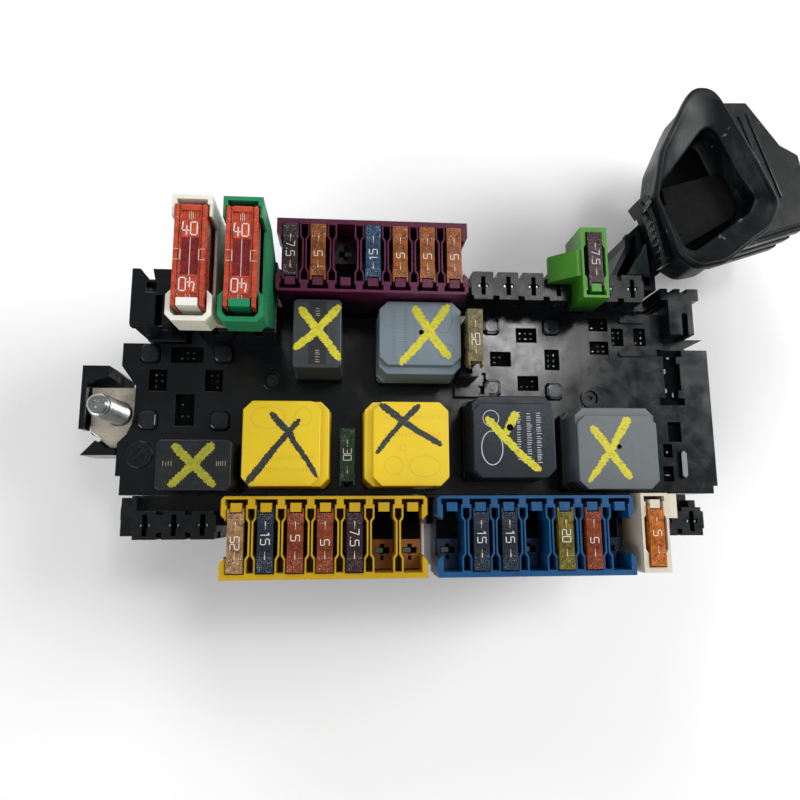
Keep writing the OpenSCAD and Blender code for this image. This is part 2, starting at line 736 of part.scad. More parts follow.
module arm_plan() {
    polygon([[76, 41.15], [85.2, 41.15], [85.2, 46.5], [88.5, 49], [91, 53], [84.5, 65],
             [81, 67.5], [74.5, 61.5], [74.5, 58], [68.3, 46.5], [68.3, 42.8], [76, 42.8]]);
}

module duct_arm() {
    color([0.12, 0.125, 0.13]) at([0, 0]) difference() {
        translate([0, 0, arm_low]) linear_extrude(arm_top - arm_low) arm_plan();
        translate([0, 0, arm_low + wall]) linear_extrude(arm_top - arm_low) difference() {
            offset(delta = -wall) arm_plan();
            translate([79, 40]) square([2, 30]);
        }
    }
}

// Boot mouth: a rounded diamond with a rolled rim, open upwards
module boot_plan(grow = 0) {
    corner = 3;
    offset(r = corner + grow) offset(delta = -corner)
        polygon([[94, 111], [81, 86.5], [76.8, 68], [84.5, 46.6], [91.6, 42.5], [101, 44.5],
                 [119.4, 58.6], [123.4, 67.3], [117.4, 82.2], [102.5, 111]]);
}

module boot_mouth() {
    corner = 3;
    offset(r = corner) offset(delta = -corner)
        polygon([[99, 97], [82, 75], [80.4, 69.7], [88.6, 50.8], [92, 49.8], [113.4, 65], [116, 70.6],
                 [108.9, 83], [103, 97]]);
}

module rubber_boot() {
    color([0.06, 0.06, 0.065]) at([0, 0]) difference() {
        union() {
            translate([0, 0, boot_low]) linear_extrude(boot_top - boot_low)
                boot_plan(-1.6, $fn = 32);
            translate([0, 0, boot_top - 4]) linear_extrude(4) boot_plan(0, $fn = 32);
        }
        translate([0, 0, boot_low + 3]) linear_extrude(boot_top) boot_mouth($fn = 32);
    }
}

// Ribbed flange box that carries the boot
module boot_flange() {
    ribs = 3;
    rise = 8.6;
    color([0.08, 0.08, 0.085]) at([0, 0]) for (i = [0:ribs - 1])
        translate([0, 0, arm_low - 4 + i * rise]) {
            linear_extrude(5) flange_plan();
            translate([0, 0, 5 - eps]) linear_extrude(rise - 5 + 2 * eps)
                offset(delta = -1.6) flange_plan();
        }
}

module flange_plan() {
    polygon([[114, 117.4], [117, 120.4], [128.4, 121], [141, 103], [148.4, 99], [151, 83.4],
             [149.2, 69], [134.2, 64], [122, 60], [110, 58], [98, 70], [100, 92]]);
}

// Tie that straps the boot's throat to the end of the arm
module cable_tie() {
    color([0.08, 0.08, 0.08]) at([0, 0]) {
        translate([0, 0, boot_top - 9]) linear_extrude(9)
            polygon([[70.6, 66], [74.2, 68.8], [76.4, 67], [73.4, 61.6]]);
        translate([0, 0, arm_top + 0.2]) linear_extrude(boot_top - arm_top - 2.2)
            polygon([[75.4, 67.4], [82.6, 47.4], [87, 43.2], [84.6, 42.6], [80.2, 46.6], [73.2, 65.8]]);
    }
}

// ---------- assembly ----------

upper_housing();
fuse_pedestal();
lower_housing();
circuit_board();
supply_busbar();
supply_stud();
supply_bracket();
rear_terminal_block();
front_left_terminal_block();
front_right_terminal_block();
left_guide_tower();
right_guide_tower();
terminal_clips();
connector_pins();
housing_screws();
purple_carrier();
yellow_carrier();
blue_carrier();
green_carrier();
cream_carrier();
maxi_riser();
white_maxi_holder();
green_maxi_holder();
color([0.85, 0.3, 0.12])  // maxi_fuse_1
    at([white_maxi_x, maxi_y + maxi_shift], maxi_seat) maxi_fuse();
color([0.85, 0.3, 0.12])  // maxi_fuse_2
    at([green_maxi_x, maxi_y + maxi_shift], maxi_seat) maxi_fuse();
yellow_relay_1();
yellow_relay_2();
black_relay();
grey_relay();
blue_grey_relay();
narrow_relay_rear();
narrow_relay_front();
color([0.5, 0.26, 0.12]) purple_fuse(1);  // purple_fuse_1
color([0.8, 0.45, 0.15]) purple_fuse(2);  // purple_fuse_2
color([0.15, 0.35, 0.5]) purple_fuse(4);  // purple_fuse_4
color([0.8, 0.45, 0.15]) purple_fuse(5);  // purple_fuse_5
color([0.8, 0.45, 0.15]) purple_fuse(6);  // purple_fuse_6
color([0.8, 0.45, 0.15]) purple_fuse(7);  // purple_fuse_7
color([0.75, 0.68, 0.5]) yellow_fuse(1);  // yellow_fuse_1
color([0.12, 0.3, 0.45]) yellow_fuse(2);  // yellow_fuse_2
color([0.8, 0.4, 0.12]) yellow_fuse(3);  // yellow_fuse_3
color([0.8, 0.4, 0.12]) yellow_fuse(4);  // yellow_fuse_4
color([0.4, 0.2, 0.1]) yellow_fuse(5);  // yellow_fuse_5
color([0.12, 0.25, 0.4]) blue_fuse(2);  // blue_fuse_2
color([0.12, 0.25, 0.4]) blue_fuse(3);  // blue_fuse_3
color([0.8, 0.7, 0.15]) blue_fuse(5);  // blue_fuse_5
color([0.7, 0.35, 0.12]) blue_fuse(6);  // blue_fuse_6
color([0.45, 0.2, 0.1])  // green_carrier_fuse
    at([green_x, rear_row_y + fuse_shift], block_h) blade_fuse();
color([0.8, 0.4, 0.1])  // cream_carrier_fuse
    at([cream_x, cream_y - fuse_shift], block_h) rotate(180) blade_fuse();
color([0.1, 0.55, 0.3])  // green_panel_fuse
    at(green_fuse_at, 0.2) blade_fuse();
color([0.75, 0.72, 0.62])  // clear_panel_fuse
    at(clear_fuse_at, clear_seat) blade_fuse();
duct_arm();
rubber_boot();
boot_flange();
cable_tie();
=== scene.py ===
"""Looks for the fuse and relay panel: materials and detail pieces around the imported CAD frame."""

import math
import random

import bmesh
import bpy
from mathutils import Matrix, Vector


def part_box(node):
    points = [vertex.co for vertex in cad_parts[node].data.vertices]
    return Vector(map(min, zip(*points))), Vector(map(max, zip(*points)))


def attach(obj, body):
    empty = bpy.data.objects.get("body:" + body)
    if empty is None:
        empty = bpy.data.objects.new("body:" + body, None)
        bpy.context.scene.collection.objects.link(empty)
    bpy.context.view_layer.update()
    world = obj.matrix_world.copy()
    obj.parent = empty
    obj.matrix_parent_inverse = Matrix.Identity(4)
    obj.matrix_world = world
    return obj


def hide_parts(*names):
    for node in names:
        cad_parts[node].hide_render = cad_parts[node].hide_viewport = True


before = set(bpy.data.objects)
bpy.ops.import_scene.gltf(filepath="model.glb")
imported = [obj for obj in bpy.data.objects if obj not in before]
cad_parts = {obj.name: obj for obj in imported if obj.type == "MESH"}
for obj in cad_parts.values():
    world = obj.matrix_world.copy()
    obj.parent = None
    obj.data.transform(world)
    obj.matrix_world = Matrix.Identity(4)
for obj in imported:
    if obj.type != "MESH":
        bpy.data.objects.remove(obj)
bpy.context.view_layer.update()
scene = bpy.context.scene

# lengths are in millimetres, and MM turns them into metres
MM = 0.001
TOP = 44.0                      # panel's upper face above the underside
SEAT = 15.0                     # floors of the fuse cells above the upper face
RIM = 26.0                      # rims of the carriers above the upper face
RECESS = 1.9                    # depth of the open sockets and slots
CELL_PITCH = 8.8                # from one fuse cell to the next
INK = 0.03                      # thickness of print


# ---------- mesh building, in millimetres ----------

class Shape:
    """Collects closed solids into one mesh. Material indices follow the piece's material list."""

    def __init__(self):
        self.bm = bmesh.new()

    def loft(self, rings, mat=0):
        """Skin through rings of equal length, capped at both ends."""
        rows = [[self.bm.verts.new(Vector(p) * MM) for p in ring] for ring in rings]
        n = len(rows[0])
        faces = []
        for a, b in zip(rows, rows[1:]):
            for i in range(n):
                j = (i + 1) % n
                faces.append(self.bm.faces.new((a[i], a[j], b[j], b[i])))
        faces.append(self.bm.faces.new(rows[0][::-1]))
        faces.append(self.bm.faces.new(rows[-1]))
        for f in faces:
            f.material_index = mat

    def prism(self, pts, z0, z1, mat=0):
        self.loft([[(x, y, z0) for x, y in pts], [(x, y, z1) for x, y in pts]], mat)

    def box(self, x, y, w, d, z0, z1, mat=0):
        self.prism(rect(x, y, w, d), z0, z1, mat)

    def turned(self, profile, x, y, n, mat=0):
        """Solid of revolution from (radius, height) pairs, lowest first."""
        rings = []
        for r, z in profile:
            rings.append([(px, py, z) for px, py in oval(x, y, r, r, n)])
        self.loft(rings, mat)

    def stroke(self, pts, width, z0, z1, mat=0):
        """Flat bar along a line of points."""
        for (ax, ay), (bx, by) in zip(pts, pts[1:]):
            d = Vector((bx - ax, by - ay)).normalized() * width / 2
            side = Vector((-d.y, d.x))
            a, b = Vector((ax, ay)) - d, Vector((bx, by)) + d
            self.prism([tuple(a - side), tuple(b - side), tuple(b + side), tuple(a + side)], z0, z1, mat)

    def digits(self, text, centre, size, turn, z, weight=0.3, mat=0, tall=1.0):
        """Boxy numerals, raised a little from the surface at height z. size is the width of one."""
        widths = [0.35 if c == "." else 1.0 for c in text]
        between = 0.32
        total = sum(widths) + between * (len(text) - 1)
        x = -total / 2
        for c, w in zip(text, widths):
            for line in DIGIT_LINES[c]:
                pts = []
                for px, py in line:
                    p = Vector(((x + px) * size, (py - DIGIT_TALL / 2) * size * tall))
                    p.rotate(Matrix.Rotation(turn, 2))
                    pts.append((centre[0] + p.x, centre[1] + p.y))
                self.stroke(pts, weight, z, z + 0.05, mat)
            x += w + between


DIGIT_TALL = 1.6                # height of a numeral whose width is 1
DIGIT_LINES = {
    "0": [[(0, 0), (1, 0), (1, 1.6), (0, 1.6), (0, 0)]],
    "1": [[(0.25, 1.3), (0.6, 1.6), (0.6, 0)]],
    "2": [[(0, 1.6), (1, 1.6), (1, 0.85), (0, 0.75), (0, 0), (1, 0)]],
    "3": [[(0, 1.6), (1, 1.6), (1, 0), (0, 0)], [(0.25, 0.8), (1, 0.8)]],
    "4": [[(0.15, 1.6), (0, 0.55), (1, 0.55)], [(0.72, 1.1), (0.72, 0)]],
    "5": [[(1, 1.6), (0, 1.6), (0, 0.9), (1, 0.9), (1, 0), (0, 0)]],
    "7": [[(0, 1.6), (1, 1.6), (0.45, 0)]],
    ".": [[(0.15, 0), (0.2, 0.05)]],
}


def oval(x, y, rx, ry, n):
    return [(x + rx * math.cos(math.tau * i / n), y + ry * math.sin(math.tau * i / n)) for i in range(n)]


def rect(x, y, w, d):
    return [(x - w / 2, y - d / 2), (x + w / 2, y - d / 2), (x + w / 2, y + d / 2), (x - w / 2, y + d / 2)]


def chamfered(w, d, c, x=0.0, y=0.0):
    a, b = w / 2, d / 2
    return [(x + p, y + q) for p, q in ((-a + c, -b), (a - c, -b), (a, -b + c), (a, b - c),
                                        (a - c, b), (-a + c, b), (-a, b - c), (-a, -b + c))]


def finish_piece(name, shape, body, mats, at=(0, 0, 0), turn=0.0, bevel=0.0, segments=2,
                 smooth=False, replaces=()):
    """Turns a Shape into a piece at its place, riding its body."""
    bmesh.ops.recalc_face_normals(shape.bm, faces=shape.bm.faces)
    mesh = bpy.data.meshes.new(name)
    shape.bm.to_mesh(mesh)
    shape.bm.free()
    for m in mats:
        mesh.materials.append(m)
    if smooth:
        mesh.polygons.foreach_set("use_smooth", [True] * len(mesh.polygons))
    obj = bpy.data.objects.new(name, mesh)
    scene.collection.objects.link(obj)
    obj.matrix_world = Matrix.Translation(Vector(at) * MM) @ Matrix.Rotation(turn, 4, "Z")
    if bevel:
        add_bevel(obj, bevel, segments)
    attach(obj, body)
    for n in replaces:
        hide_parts(n)


def add_bevel(obj, width, segments=2):
    mod = obj.modifiers.new("edge", "BEVEL")
    mod.width = width * MM
    mod.segments = segments
    mod.limit_method = "ANGLE"
    mod.angle_limit = math.radians(28)
    mod.use_clamp_overlap = True


# ---------- materials ----------

def linear(rgb):
    """Linear colour with alpha from 0-255 display values."""
    values = [c / 255 for c in rgb]
    return tuple(v / 12.92 if v <= 0.04045 else ((v + 0.055) / 1.055) ** 2.4 for v in values) + (1,)


class Nodes:
    """Small helper over one material's node tree."""

    def __init__(self, name):
        self.mat = bpy.data.materials.new(name)
        self.mat.use_nodes = True
        self.tree = self.mat.node_tree
        self.bsdf = self.tree.nodes["Principled BSDF"]
        self.coord = self.add("ShaderNodeTexCoord").outputs["Object"]

    def add(self, kind, **values):
        n = self.tree.nodes.new(kind)
        for k, v in values.items():
            setattr(n, k, v)
        return n

    def link(self, a, b):
        self.tree.links.new(a, b)

    def stretched(self, scale):
        m = self.add("ShaderNodeMapping")
        m.inputs["Scale"].default_value = scale
        self.link(self.coord, m.inputs["Vector"])
        return m.outputs["Vector"]

    def noise(self, scale, detail=3.0, rough=0.55, vector=None):
        n = self.add("ShaderNodeTexNoise")
        n.inputs["Scale"].default_value = scale
        n.inputs["Detail"].default_value = detail
        n.inputs["Roughness"].default_value = rough
        self.link(vector or self.coord, n.inputs["Vector"])
        return n.outputs["Fac"]

    def ranged(self, value, lo, hi, out_lo=0.0, out_hi=1.0):
        m = self.add("ShaderNodeMapRange")
        m.inputs["From Min"].default_value = lo
        m.inputs["From Max"].default_value = hi
        m.inputs["To Min"].default_value = out_lo
        m.inputs["To Max"].default_value = out_hi
        self.link(value, m.inputs["Value"])
        return m.outputs["Result"]

    def math(self, op, a, b):
        m = self.add("ShaderNodeMath", operation=op)
        for i, v in enumerate((a, b)):
            if isinstance(v, (int, float)):
                m.inputs[i].default_value = v
            else:
                self.link(v, m.inputs[i])
        return m.outputs[0]

    def mix(self, fac, a, b):
        """Colour mix. The node's colour ports are inputs 6 and 7 and output 2."""
        m = self.add("ShaderNodeMix", data_type="RGBA")
        for port, v in ((0, fac), (6, a), (7, b)):
            if isinstance(v, tuple):
                m.inputs[port].default_value = v
            else:
                self.link(v, m.inputs[port])
        return m.outputs[2]

    def axis(self, name):
        s = self.add("ShaderNodeSeparateXYZ")
        self.link(self.coord, s.inputs[0])
        return s.outputs[name]

    def bump(self, height, strength, distance):
        """Bump whose distance is in millimetres."""
        b = self.add("ShaderNodeBump")
        b.inputs["Strength"].default_value = strength
        b.inputs["Distance"].default_value = distance * MM
        self.link(height, b.inputs["Height"])
        self.link(b.outputs["Normal"], self.bsdf.inputs["Normal"])

    def fixed(self, **values):
        for k, v in values.items():
            self.bsdf.inputs[k.replace("_", " ")].default_value = v


def shade(colour, gain):
    return tuple(min(1.0, c * gain) for c in colour[:3]) + (1,)


def moulded(name, rgb, rough=(0.4, 0.6), grain=0.25, dust=0.12, dust_rgb=(150, 150, 145), scratch=0.08,
            depth_shade=None, coat=0.0, variation=0.12, specular=0.5, wavy=0.0):
    """Moulded plastic: slow colour drift, fine grain, faint scratches and dust. depth_shade is a colour, a
    low height and a high height, and paints shade: below the high height the plastic blends into that
    colour, fully at the low height, like the shade deep inside a moulding. rough is the range of the
    roughness, and wavy adds the slow unevenness of a large flat face."""
    n = Nodes(name)
    base = linear(rgb)
    slow = n.noise(45, 4, 0.6)
    colour = n.mix(n.ranged(slow, 0.3, 0.7), shade(base, 1 - variation), shade(base, 1 + variation))
    # painted shade: the colour darkens towards the shade tint lower down in the object
    if depth_shade:
        shade_tint, z0, z1 = depth_shade
        shade_level = n.ranged(n.axis("Z"), z0 * MM, z1 * MM)
        colour = n.mix(shade_level, linear(shade_tint), colour)
    scratches = n.noise(1.0, 2, 0.5, n.stretched((60, 1400, 900)))
    worn = n.ranged(scratches, 0.66, 0.8, 0.0, scratch)
    colour = n.mix(worn, colour, linear(dust_rgb))
    powder = n.ranged(n.noise(420, 5, 0.7), 0.52, 0.8, 0.0, dust)
    patch = n.ranged(n.noise(28, 3, 0.6), 0.42, 0.68)
    colour = n.mix(n.math("MULTIPLY", powder, patch), colour, linear(dust_rgb))
    n.link(colour, n.bsdf.inputs["Base Color"])
    n.link(n.ranged(n.noise(160, 4, 0.6), 0.3, 0.7, rough[0], rough[1]), n.bsdf.inputs["Roughness"])
    height = n.noise(2600, 3, 0.6)
    if wavy:
        height = n.math("ADD", height, n.math("MULTIPLY", n.noise(75, 2, 0.4), 30 * wavy))
    n.bump(height, grain, 0.06)
    n.fixed(Specular_IOR_Level=specular, Coat_Weight=coat, Coat_Roughness=0.25)
    return n.mat


def metal(name, rgb, rough=(0.22, 0.42), tarnish=(120, 105, 80), amount=0.25, metallic=1.0):
    """Brushed metal with patches of tarnish."""
    n = Nodes(name)
    base = linear(rgb)
    brushed = n.noise(1.0, 3, 0.6, n.stretched((300, 2600, 300)))
    colour = n.mix(n.ranged(brushed, 0.35, 0.65), shade(base, 0.86), shade(base, 1.05))
    stain = n.ranged(n.noise(210, 5, 0.65), 0.5, 0.72, 0.0, amount)
    colour = n.mix(stain, colour, linear(tarnish))
    n.link(colour, n.bsdf.inputs["Base Color"])
    n.link(n.ranged(n.noise(380, 4, 0.6), 0.3, 0.7, rough[0], rough[1]), n.bsdf.inputs["Roughness"])
    n.bump(brushed, 0.25, 0.04)
    n.fixed(Metallic=metallic)
    return n.mat


def fuse_plastic(name, rgb, dark, glint=(235, 215, 200), length=19.0, coat=0.6, specular=0.5):
    """Tinted clear plastic over a metal element: mottled at random between a lit colour and a darker colour
    of painted shade, with painted glints that are brightest on the grip zones at both ends and fainter in
    the middle. length is the body's length along Y."""
    n = Nodes(name)
    # mottling between the painted shade colour and the lit colour
    body = n.mix(n.ranged(n.noise(520, 4, 0.65), 0.35, 0.68), linear(dark), linear(rgb))
    along = n.math("ABSOLUTE", n.axis("Y"), 0.0)
    ends = n.ranged(along, 0.2 * length * MM, 0.27 * length * MM)
    # painted glints: bright specks mixed into the colour, strongest on the grip ends
    specks = n.add("ShaderNodeTexVoronoi", feature="F1")
    specks.inputs["Scale"].default_value = 1700
    n.link(n.coord, specks.inputs["Vector"])
    spark = n.ranged(specks.outputs["Distance"], 0.32, 0.12, 0.0, 0.75)
    lit = n.ranged(n.noise(900, 2, 0.5), 0.48, 0.6)
    painted_glints = n.math("MULTIPLY", n.math("MULTIPLY", spark, lit), n.math("MAXIMUM", ends, 0.25))
    body = n.mix(painted_glints, body, linear(glint))
    n.link(body, n.bsdf.inputs["Base Color"])
    n.link(n.ranged(n.noise(700, 3, 0.6), 0.3, 0.7, 0.12, 0.34), n.bsdf.inputs["Roughness"])
    n.bump(specks.outputs["Distance"], 0.25, 0.08)
    n.fixed(Coat_Weight=coat, Coat_Roughness=0.08, Specular_IOR_Level=specular)
    return n.mat


def ink(name, rgb, patchy=0.25, under=(120, 120, 120), fine=330):
    """Ink that lets the colour under it through in patches. A larger fine makes smaller patches."""
    n = Nodes(name)
    base = linear(rgb)
    streak = n.noise(1.0, 4, 0.7, n.stretched((900, 900, 900)))
    colour = n.mix(n.ranged(streak, 0.3, 0.7), shade(base, 0.82), shade(base, 1.1))
    thin = n.ranged(n.noise(fine, 5, 0.7), 0.5, 0.75, 0.0, patchy)
    n.link(n.mix(thin, colour, linear(under)), n.bsdf.inputs["Base Color"])
    n.link(n.ranged(streak, 0.3, 0.7, 0.4, 0.6), n.bsdf.inputs["Roughness"])
    n.bump(streak, 0.3, 0.04)
    return n.mat


def rubber(name, rgb):
    """Dull rubber with handling marks and chalky patches."""
    n = Nodes(name)
    base = linear(rgb)
    colour = n.mix(n.ranged(n.noise(38, 5, 0.6), 0.3, 0.7), shade(base, 0.7), shade(base, 1.35))
    rub = n.ranged(n.noise(75, 6, 0.72, n.stretched((1.0, 0.55, 1.0))), 0.52, 0.74, 0.0, 0.32)
    colour = n.mix(rub, colour, linear((84, 92, 92)))
    nick = n.ranged(n.noise(260, 3, 0.6), 0.68, 0.74, 0.0, 0.35)
    colour = n.mix(nick, colour, linear((170, 172, 168)))
    n.link(colour, n.bsdf.inputs["Base Color"])
    n.link(n.ranged(n.noise(90, 4, 0.6), 0.3, 0.7, 0.3, 0.52), n.bsdf.inputs["Roughness"])
    n.bump(n.noise(900, 5, 0.7), 0.35, 0.1)
    n.fixed(Specular_IOR_Level=0.16)
    return n.mat


BLACK = moulded("housing_plastic", (11, 14, 18), (0.11, 0.26), dust=0.04, scratch=0.05, variation=0.25,
                wavy=0.4, specular=0.45, dust_rgb=(110, 120, 128))
BLOCK = moulded("block_plastic", (12, 14, 17), (0.2, 0.36), dust=0.05, scratch=0.04, variation=0.2,
                wavy=0.2, specular=0.4, dust_rgb=(110, 118, 124))
ARM = moulded("duct_plastic", (20, 22, 25), (0.26, 0.45), dust=0.08, scratch=0.06, variation=0.2,
              specular=0.35)
PALE_ARM = moulded("gusset_plastic", (58, 66, 68), (0.4, 0.6), dust=0.1, specular=0.25)
BOARD = moulded("board_green", (28, 70, 45), (0.3, 0.5))
NYLON = moulded("tie_nylon", (16, 18, 20), (0.2, 0.36), grain=0.12, coat=0.2, wavy=0.3)
# near-black for hollows, holes, grooves and the inside of the boot: painted shade
SHADE_BLACK = moulded("painted_shade_black", (5, 6, 7), (0.6, 0.8), dust=0.02, specular=0.04)
TIN = metal("tinned_copper", (208, 200, 182), tarnish=(128, 108, 76), amount=0.45, metallic=0.5)
ZINC = metal("zinc_steel", (190, 192, 192), (0.18, 0.36), amount=0.2)
BRIGHT = metal("contact_metal", (176, 182, 186), (0.2, 0.4), amount=0.15)
STEEL = metal("dark_steel", (44, 48, 52), (0.34, 0.5), amount=0.2)
# a lighter black for raised details: painted sheen that makes the relief stand out
RAISED_SHEEN = moulded("raised_sheen_plastic", (24, 27, 31), (0.12, 0.3), grain=0.15, dust=0.06, variation=0.2)
# the contact metal darkened: painted shade on contacts deep in slots and cells
SHADED_CONTACT = metal("contact_metal_in_shade", (104, 108, 110), (0.3, 0.5), amount=0.4)
LINE = moulded("element_line", (205, 190, 170), (0.25, 0.4), grain=0.1)
WHITE_INK = ink("white_ink", (226, 220, 212), patchy=0.2, under=(150, 130, 120))
YELLOW_INK = ink("yellow_felt_pen", (204, 194, 30), patchy=0.75, under=(116, 118, 50), fine=700)
DULL_INK = ink("thin_yellow_felt_pen", (150, 148, 26), patchy=0.7, under=(76, 80, 36), fine=500)
BLACK_INK = ink("black_felt_pen", (30, 36, 40), patchy=0.6, under=(104, 110, 106), fine=1100)
GREY_INK = ink("grey_print", (92, 100, 106), patchy=0.3, under=(70, 76, 80))

# each carrier's colour at its rim, and the colour of the painted shade it darkens to deep inside
CARRIER_LOOKS = {
    "purple_carrier": ((80, 13, 52), (26, 3, 16)),
    "yellow_carrier": ((182, 146, 6), (136, 74, 5)),
    "blue_carrier": ((8, 72, 118), (3, 24, 48)),
    "green_carrier": ((66, 134, 34), (18, 50, 11)),
    "cream_carrier": ((206, 198, 180), (162, 136, 98)),
}
CARRIER = {k: moulded(k + "_plastic", top, (0.28, 0.46), depth_shade=(low, TOP + SEAT - 2.0, TOP + RIM - 1.5),
                      dust=0.06, scratch=0.05, dust_rgb=(210, 205, 195), coat=0.06, specular=0.35)
           for k, (top, low) in CARRIER_LOOKS.items()}
# floors of the empty cells: darker copies of the carriers' colours, painted shade deep in the cells
SHADED_CELL_FLOOR = {"purple": moulded("purple_cell_floor_shade", (44, 10, 30), (0.4, 0.6)),
                 "yellow": moulded("yellow_cell_floor_shade", (158, 96, 8), (0.4, 0.6), variation=0.3),
                 "blue": moulded("blue_cell_floor_shade", (8, 44, 86), (0.4, 0.6))}
# the holders darken towards the bottom with painted shade
WHITE_HOLDER = moulded("white_holder_plastic", (226, 224, 212), (0.4, 0.55), dust=0.1,
                       dust_rgb=(140, 135, 120), depth_shade=((120, 112, 96), TOP, TOP + 40))
GREEN_HOLDER = moulded("deep_green_holder_plastic", (0, 122, 78), (0.38, 0.55), dust=0.08,
                       depth_shade=((0, 60, 42), TOP, TOP + 40))
YELLOW_COVER = moulded("yellow_cover_plastic", (222, 190, 22), (0.36, 0.52), dust=0.06, scratch=0.05,
                       dust_rgb=(200, 150, 40), variation=0.07)
BLACK_COVER = moulded("black_cover_plastic", (26, 32, 40), (0.24, 0.4), dust=0.06, scratch=0.06,
                      specular=0.3)
GREY_COVER = moulded("grey_cover_plastic", (92, 98, 101), (0.3, 0.46), dust=0.1, scratch=0.08)
BLUE_GREY_COVER = moulded("blue_grey_cover_plastic", (104, 118, 128), (0.32, 0.5), dust=0.1,
                          scratch=0.08)
DARK_GREY_COVER = moulded("dark_grey_cover_plastic", (56, 60, 63), (0.28, 0.44), dust=0.08, scratch=0.06,
                          specular=0.35)
DARKER_COVER = moulded("darker_cover_plastic", (30, 33, 37), (0.26, 0.42), dust=0.06, scratch=0.06,
                       specular=0.3)
# colours of the clear plastics: lit, painted shade, painted glint
FUSE = {
    "brown": fuse_plastic("fuse_brown_clear", (58, 24, 32), (20, 8, 14), (170, 130, 130)),
    "orange": fuse_plastic("fuse_orange_clear", (168, 92, 22), (92, 42, 8), (235, 190, 110)),
    "red": fuse_plastic("fuse_red_orange_clear", (146, 62, 16), (84, 28, 6), (235, 180, 110)),
    "blue": fuse_plastic("fuse_blue_clear", (38, 80, 114), (12, 32, 52), (170, 205, 225)),
    "navy": fuse_plastic("fuse_dark_blue_clear", (24, 42, 62), (6, 14, 24), (150, 170, 185)),
    "yellow": fuse_plastic("fuse_yellow_clear", (126, 112, 22), (62, 54, 8), (225, 215, 130)),
    "amber": fuse_plastic("fuse_amber_clear", (206, 118, 22), (132, 56, 8), (250, 215, 150)),
    "clear": fuse_plastic("fuse_clear_clear", (178, 138, 92), (96, 64, 34), (250, 240, 215)),
    "pale": fuse_plastic("fuse_pale_clear", (132, 122, 84), (78, 70, 40), (236, 230, 196),
                         coat=0.0, specular=0.12),
    "green": fuse_plastic("fuse_green_clear", (20, 72, 44), (6, 26, 14), (120, 170, 135)),
    "maxi": fuse_plastic("maxi_orange_clear", (200, 78, 48), (160, 50, 28), (240, 170, 140), 29.2),
    # so long that its painted glints at the ends lie outside the window
    "maxi_dark": fuse_plastic("maxi_red_window", (134, 24, 26), (92, 12, 16), (180, 80, 80), 120.0),
}


# ---------- CAD nodes that keep their shape ----------

def dress(node, material, bevel):
    """Gives a CAD node its material, merges its flat triangles and rounds its edges."""
    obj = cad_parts[node]
    obj.data.materials.clear()
    obj.data.materials.append(material)
    weld = obj.modifiers.new("weld", "WELD")
    weld.merge_threshold = 0.01 * MM
    flat = obj.modifiers.new("flat", "DECIMATE")
    flat.decimate_type = "DISSOLVE"
    flat.angle_limit = math.radians(0.5)
    add_bevel(obj, bevel)


for node, material in {
        "upper_housing": BLACK, "fuse_pedestal": BLACK, "lower_housing": BLACK, "circuit_board": BOARD,
        "supply_busbar": TIN, "supply_bracket": BLACK, "rear_terminal_block": BLOCK,
        "front_left_terminal_block": BLOCK, "front_right_terminal_block": BLOCK,
        "left_guide_tower": BLACK, "right_guide_tower": BLACK, "duct_arm": ARM, "maxi_riser": BLOCK,
        "white_maxi_holder": WHITE_HOLDER, "green_maxi_holder": GREEN_HOLDER, **CARRIER}.items():
    dress(node, material, bevel=0.25)
for node, material in {"terminal_clips": BRIGHT, "connector_pins": BRIGHT, "housing_screws": STEEL}.items():
    dress(node, material, bevel=0.12)


# ---------- fuses ----------

def centre(node):
    """Centre of a node's box, in millimetres."""
    lo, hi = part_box(node)
    return (lo + hi) / 2 / MM


def grip(s, y0, y1, z, rng):
    """Field of small uneven pyramids over the fuse's width, between y0 and y1."""
    width, pitch = 4.7, 0.56
    nx = int(width / pitch)
    ny = int((y1 - y0) / pitch)
    for i in range(nx):
        for j in range(ny):
            x = (i - (nx - 1) / 2) * pitch
            y = y0 + (j + 0.5) * (y1 - y0) / ny
            base = rect(x, y, pitch * 0.94, pitch * 0.94)
            tip = rect(x + rng.uniform(-0.16, 0.16), y + rng.uniform(-0.16, 0.16), 0.12, 0.12)
            s.loft([[(px, py, z - 0.05) for px, py in base],
                    [(px, py, z + rng.uniform(0.06, 0.2)) for px, py in tip]], 0)


def blade_fuse(node, colour, text, flip):
    """Standard blade fuse: grip ends, waisted body, element line, numerals and two blades. The numerals
    read from the other side when flip is true."""
    cx, cy = centre(node)[:2]
    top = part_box(node)[1].z / MM
    front = node.startswith(("yellow_fuse", "blue_fuse", "cream"))
    tall = 12.0
    head, skin, window = 7.6, tall - 0.25, tall - 0.12
    rng = random.Random(node)
    s = Shape()
    # the groove for the latch is at the -Y end
    s.box(0, -6.6, 5.0, 2.7, head, skin)
    s.box(0, 7.3, 5.0, 4.2, head, skin)
    for e in (-1, 1):
        s.box(e * 2.2, -8.62, 0.6, 1.5, head, skin)
    grip(s, -7.8, -4.6, skin, rng)
    grip(s, 4.6, 9.3, skin, rng)
    s.box(0, 0, 4.7, 10.6, head, skin - 0.02)
    s.box(0, 0, 3.5, 8.6, tall - 0.4, window)
    s.box(0, 0.75, 3.9, 15.1, 0.15, head + 0.1)
    s.box(0, 0, 4.7, 4.6, 0.15, head + 0.1)
    for y in (-4.9, 4.9):
        s.box(0, y, 0.3, 1.3, tall - 0.3, tall, 1)
    for y in (-3.7, 3.7):
        s.box(0, y, 0.13, 1.1, tall - 0.2, window + 0.03, 1)
    turn = math.pi / 2 if flip else -math.pi / 2
    s.digits(text, (0, -0.7 if flip else 0.7), 1.6, turn, window, 0.25, 2)
    for y in (-6.1, 6.1):
        s.box(0, y, 0.65, 4.1, -6.75, 1.2, 3)
    finish_piece(node + "_body", s, node, [FUSE[colour], LINE, WHITE_INK, BRIGHT],
                 at=(cx, cy, top - tall), turn=math.pi if front else 0.0, bevel=0.07, segments=1,
                 replaces=(node,))


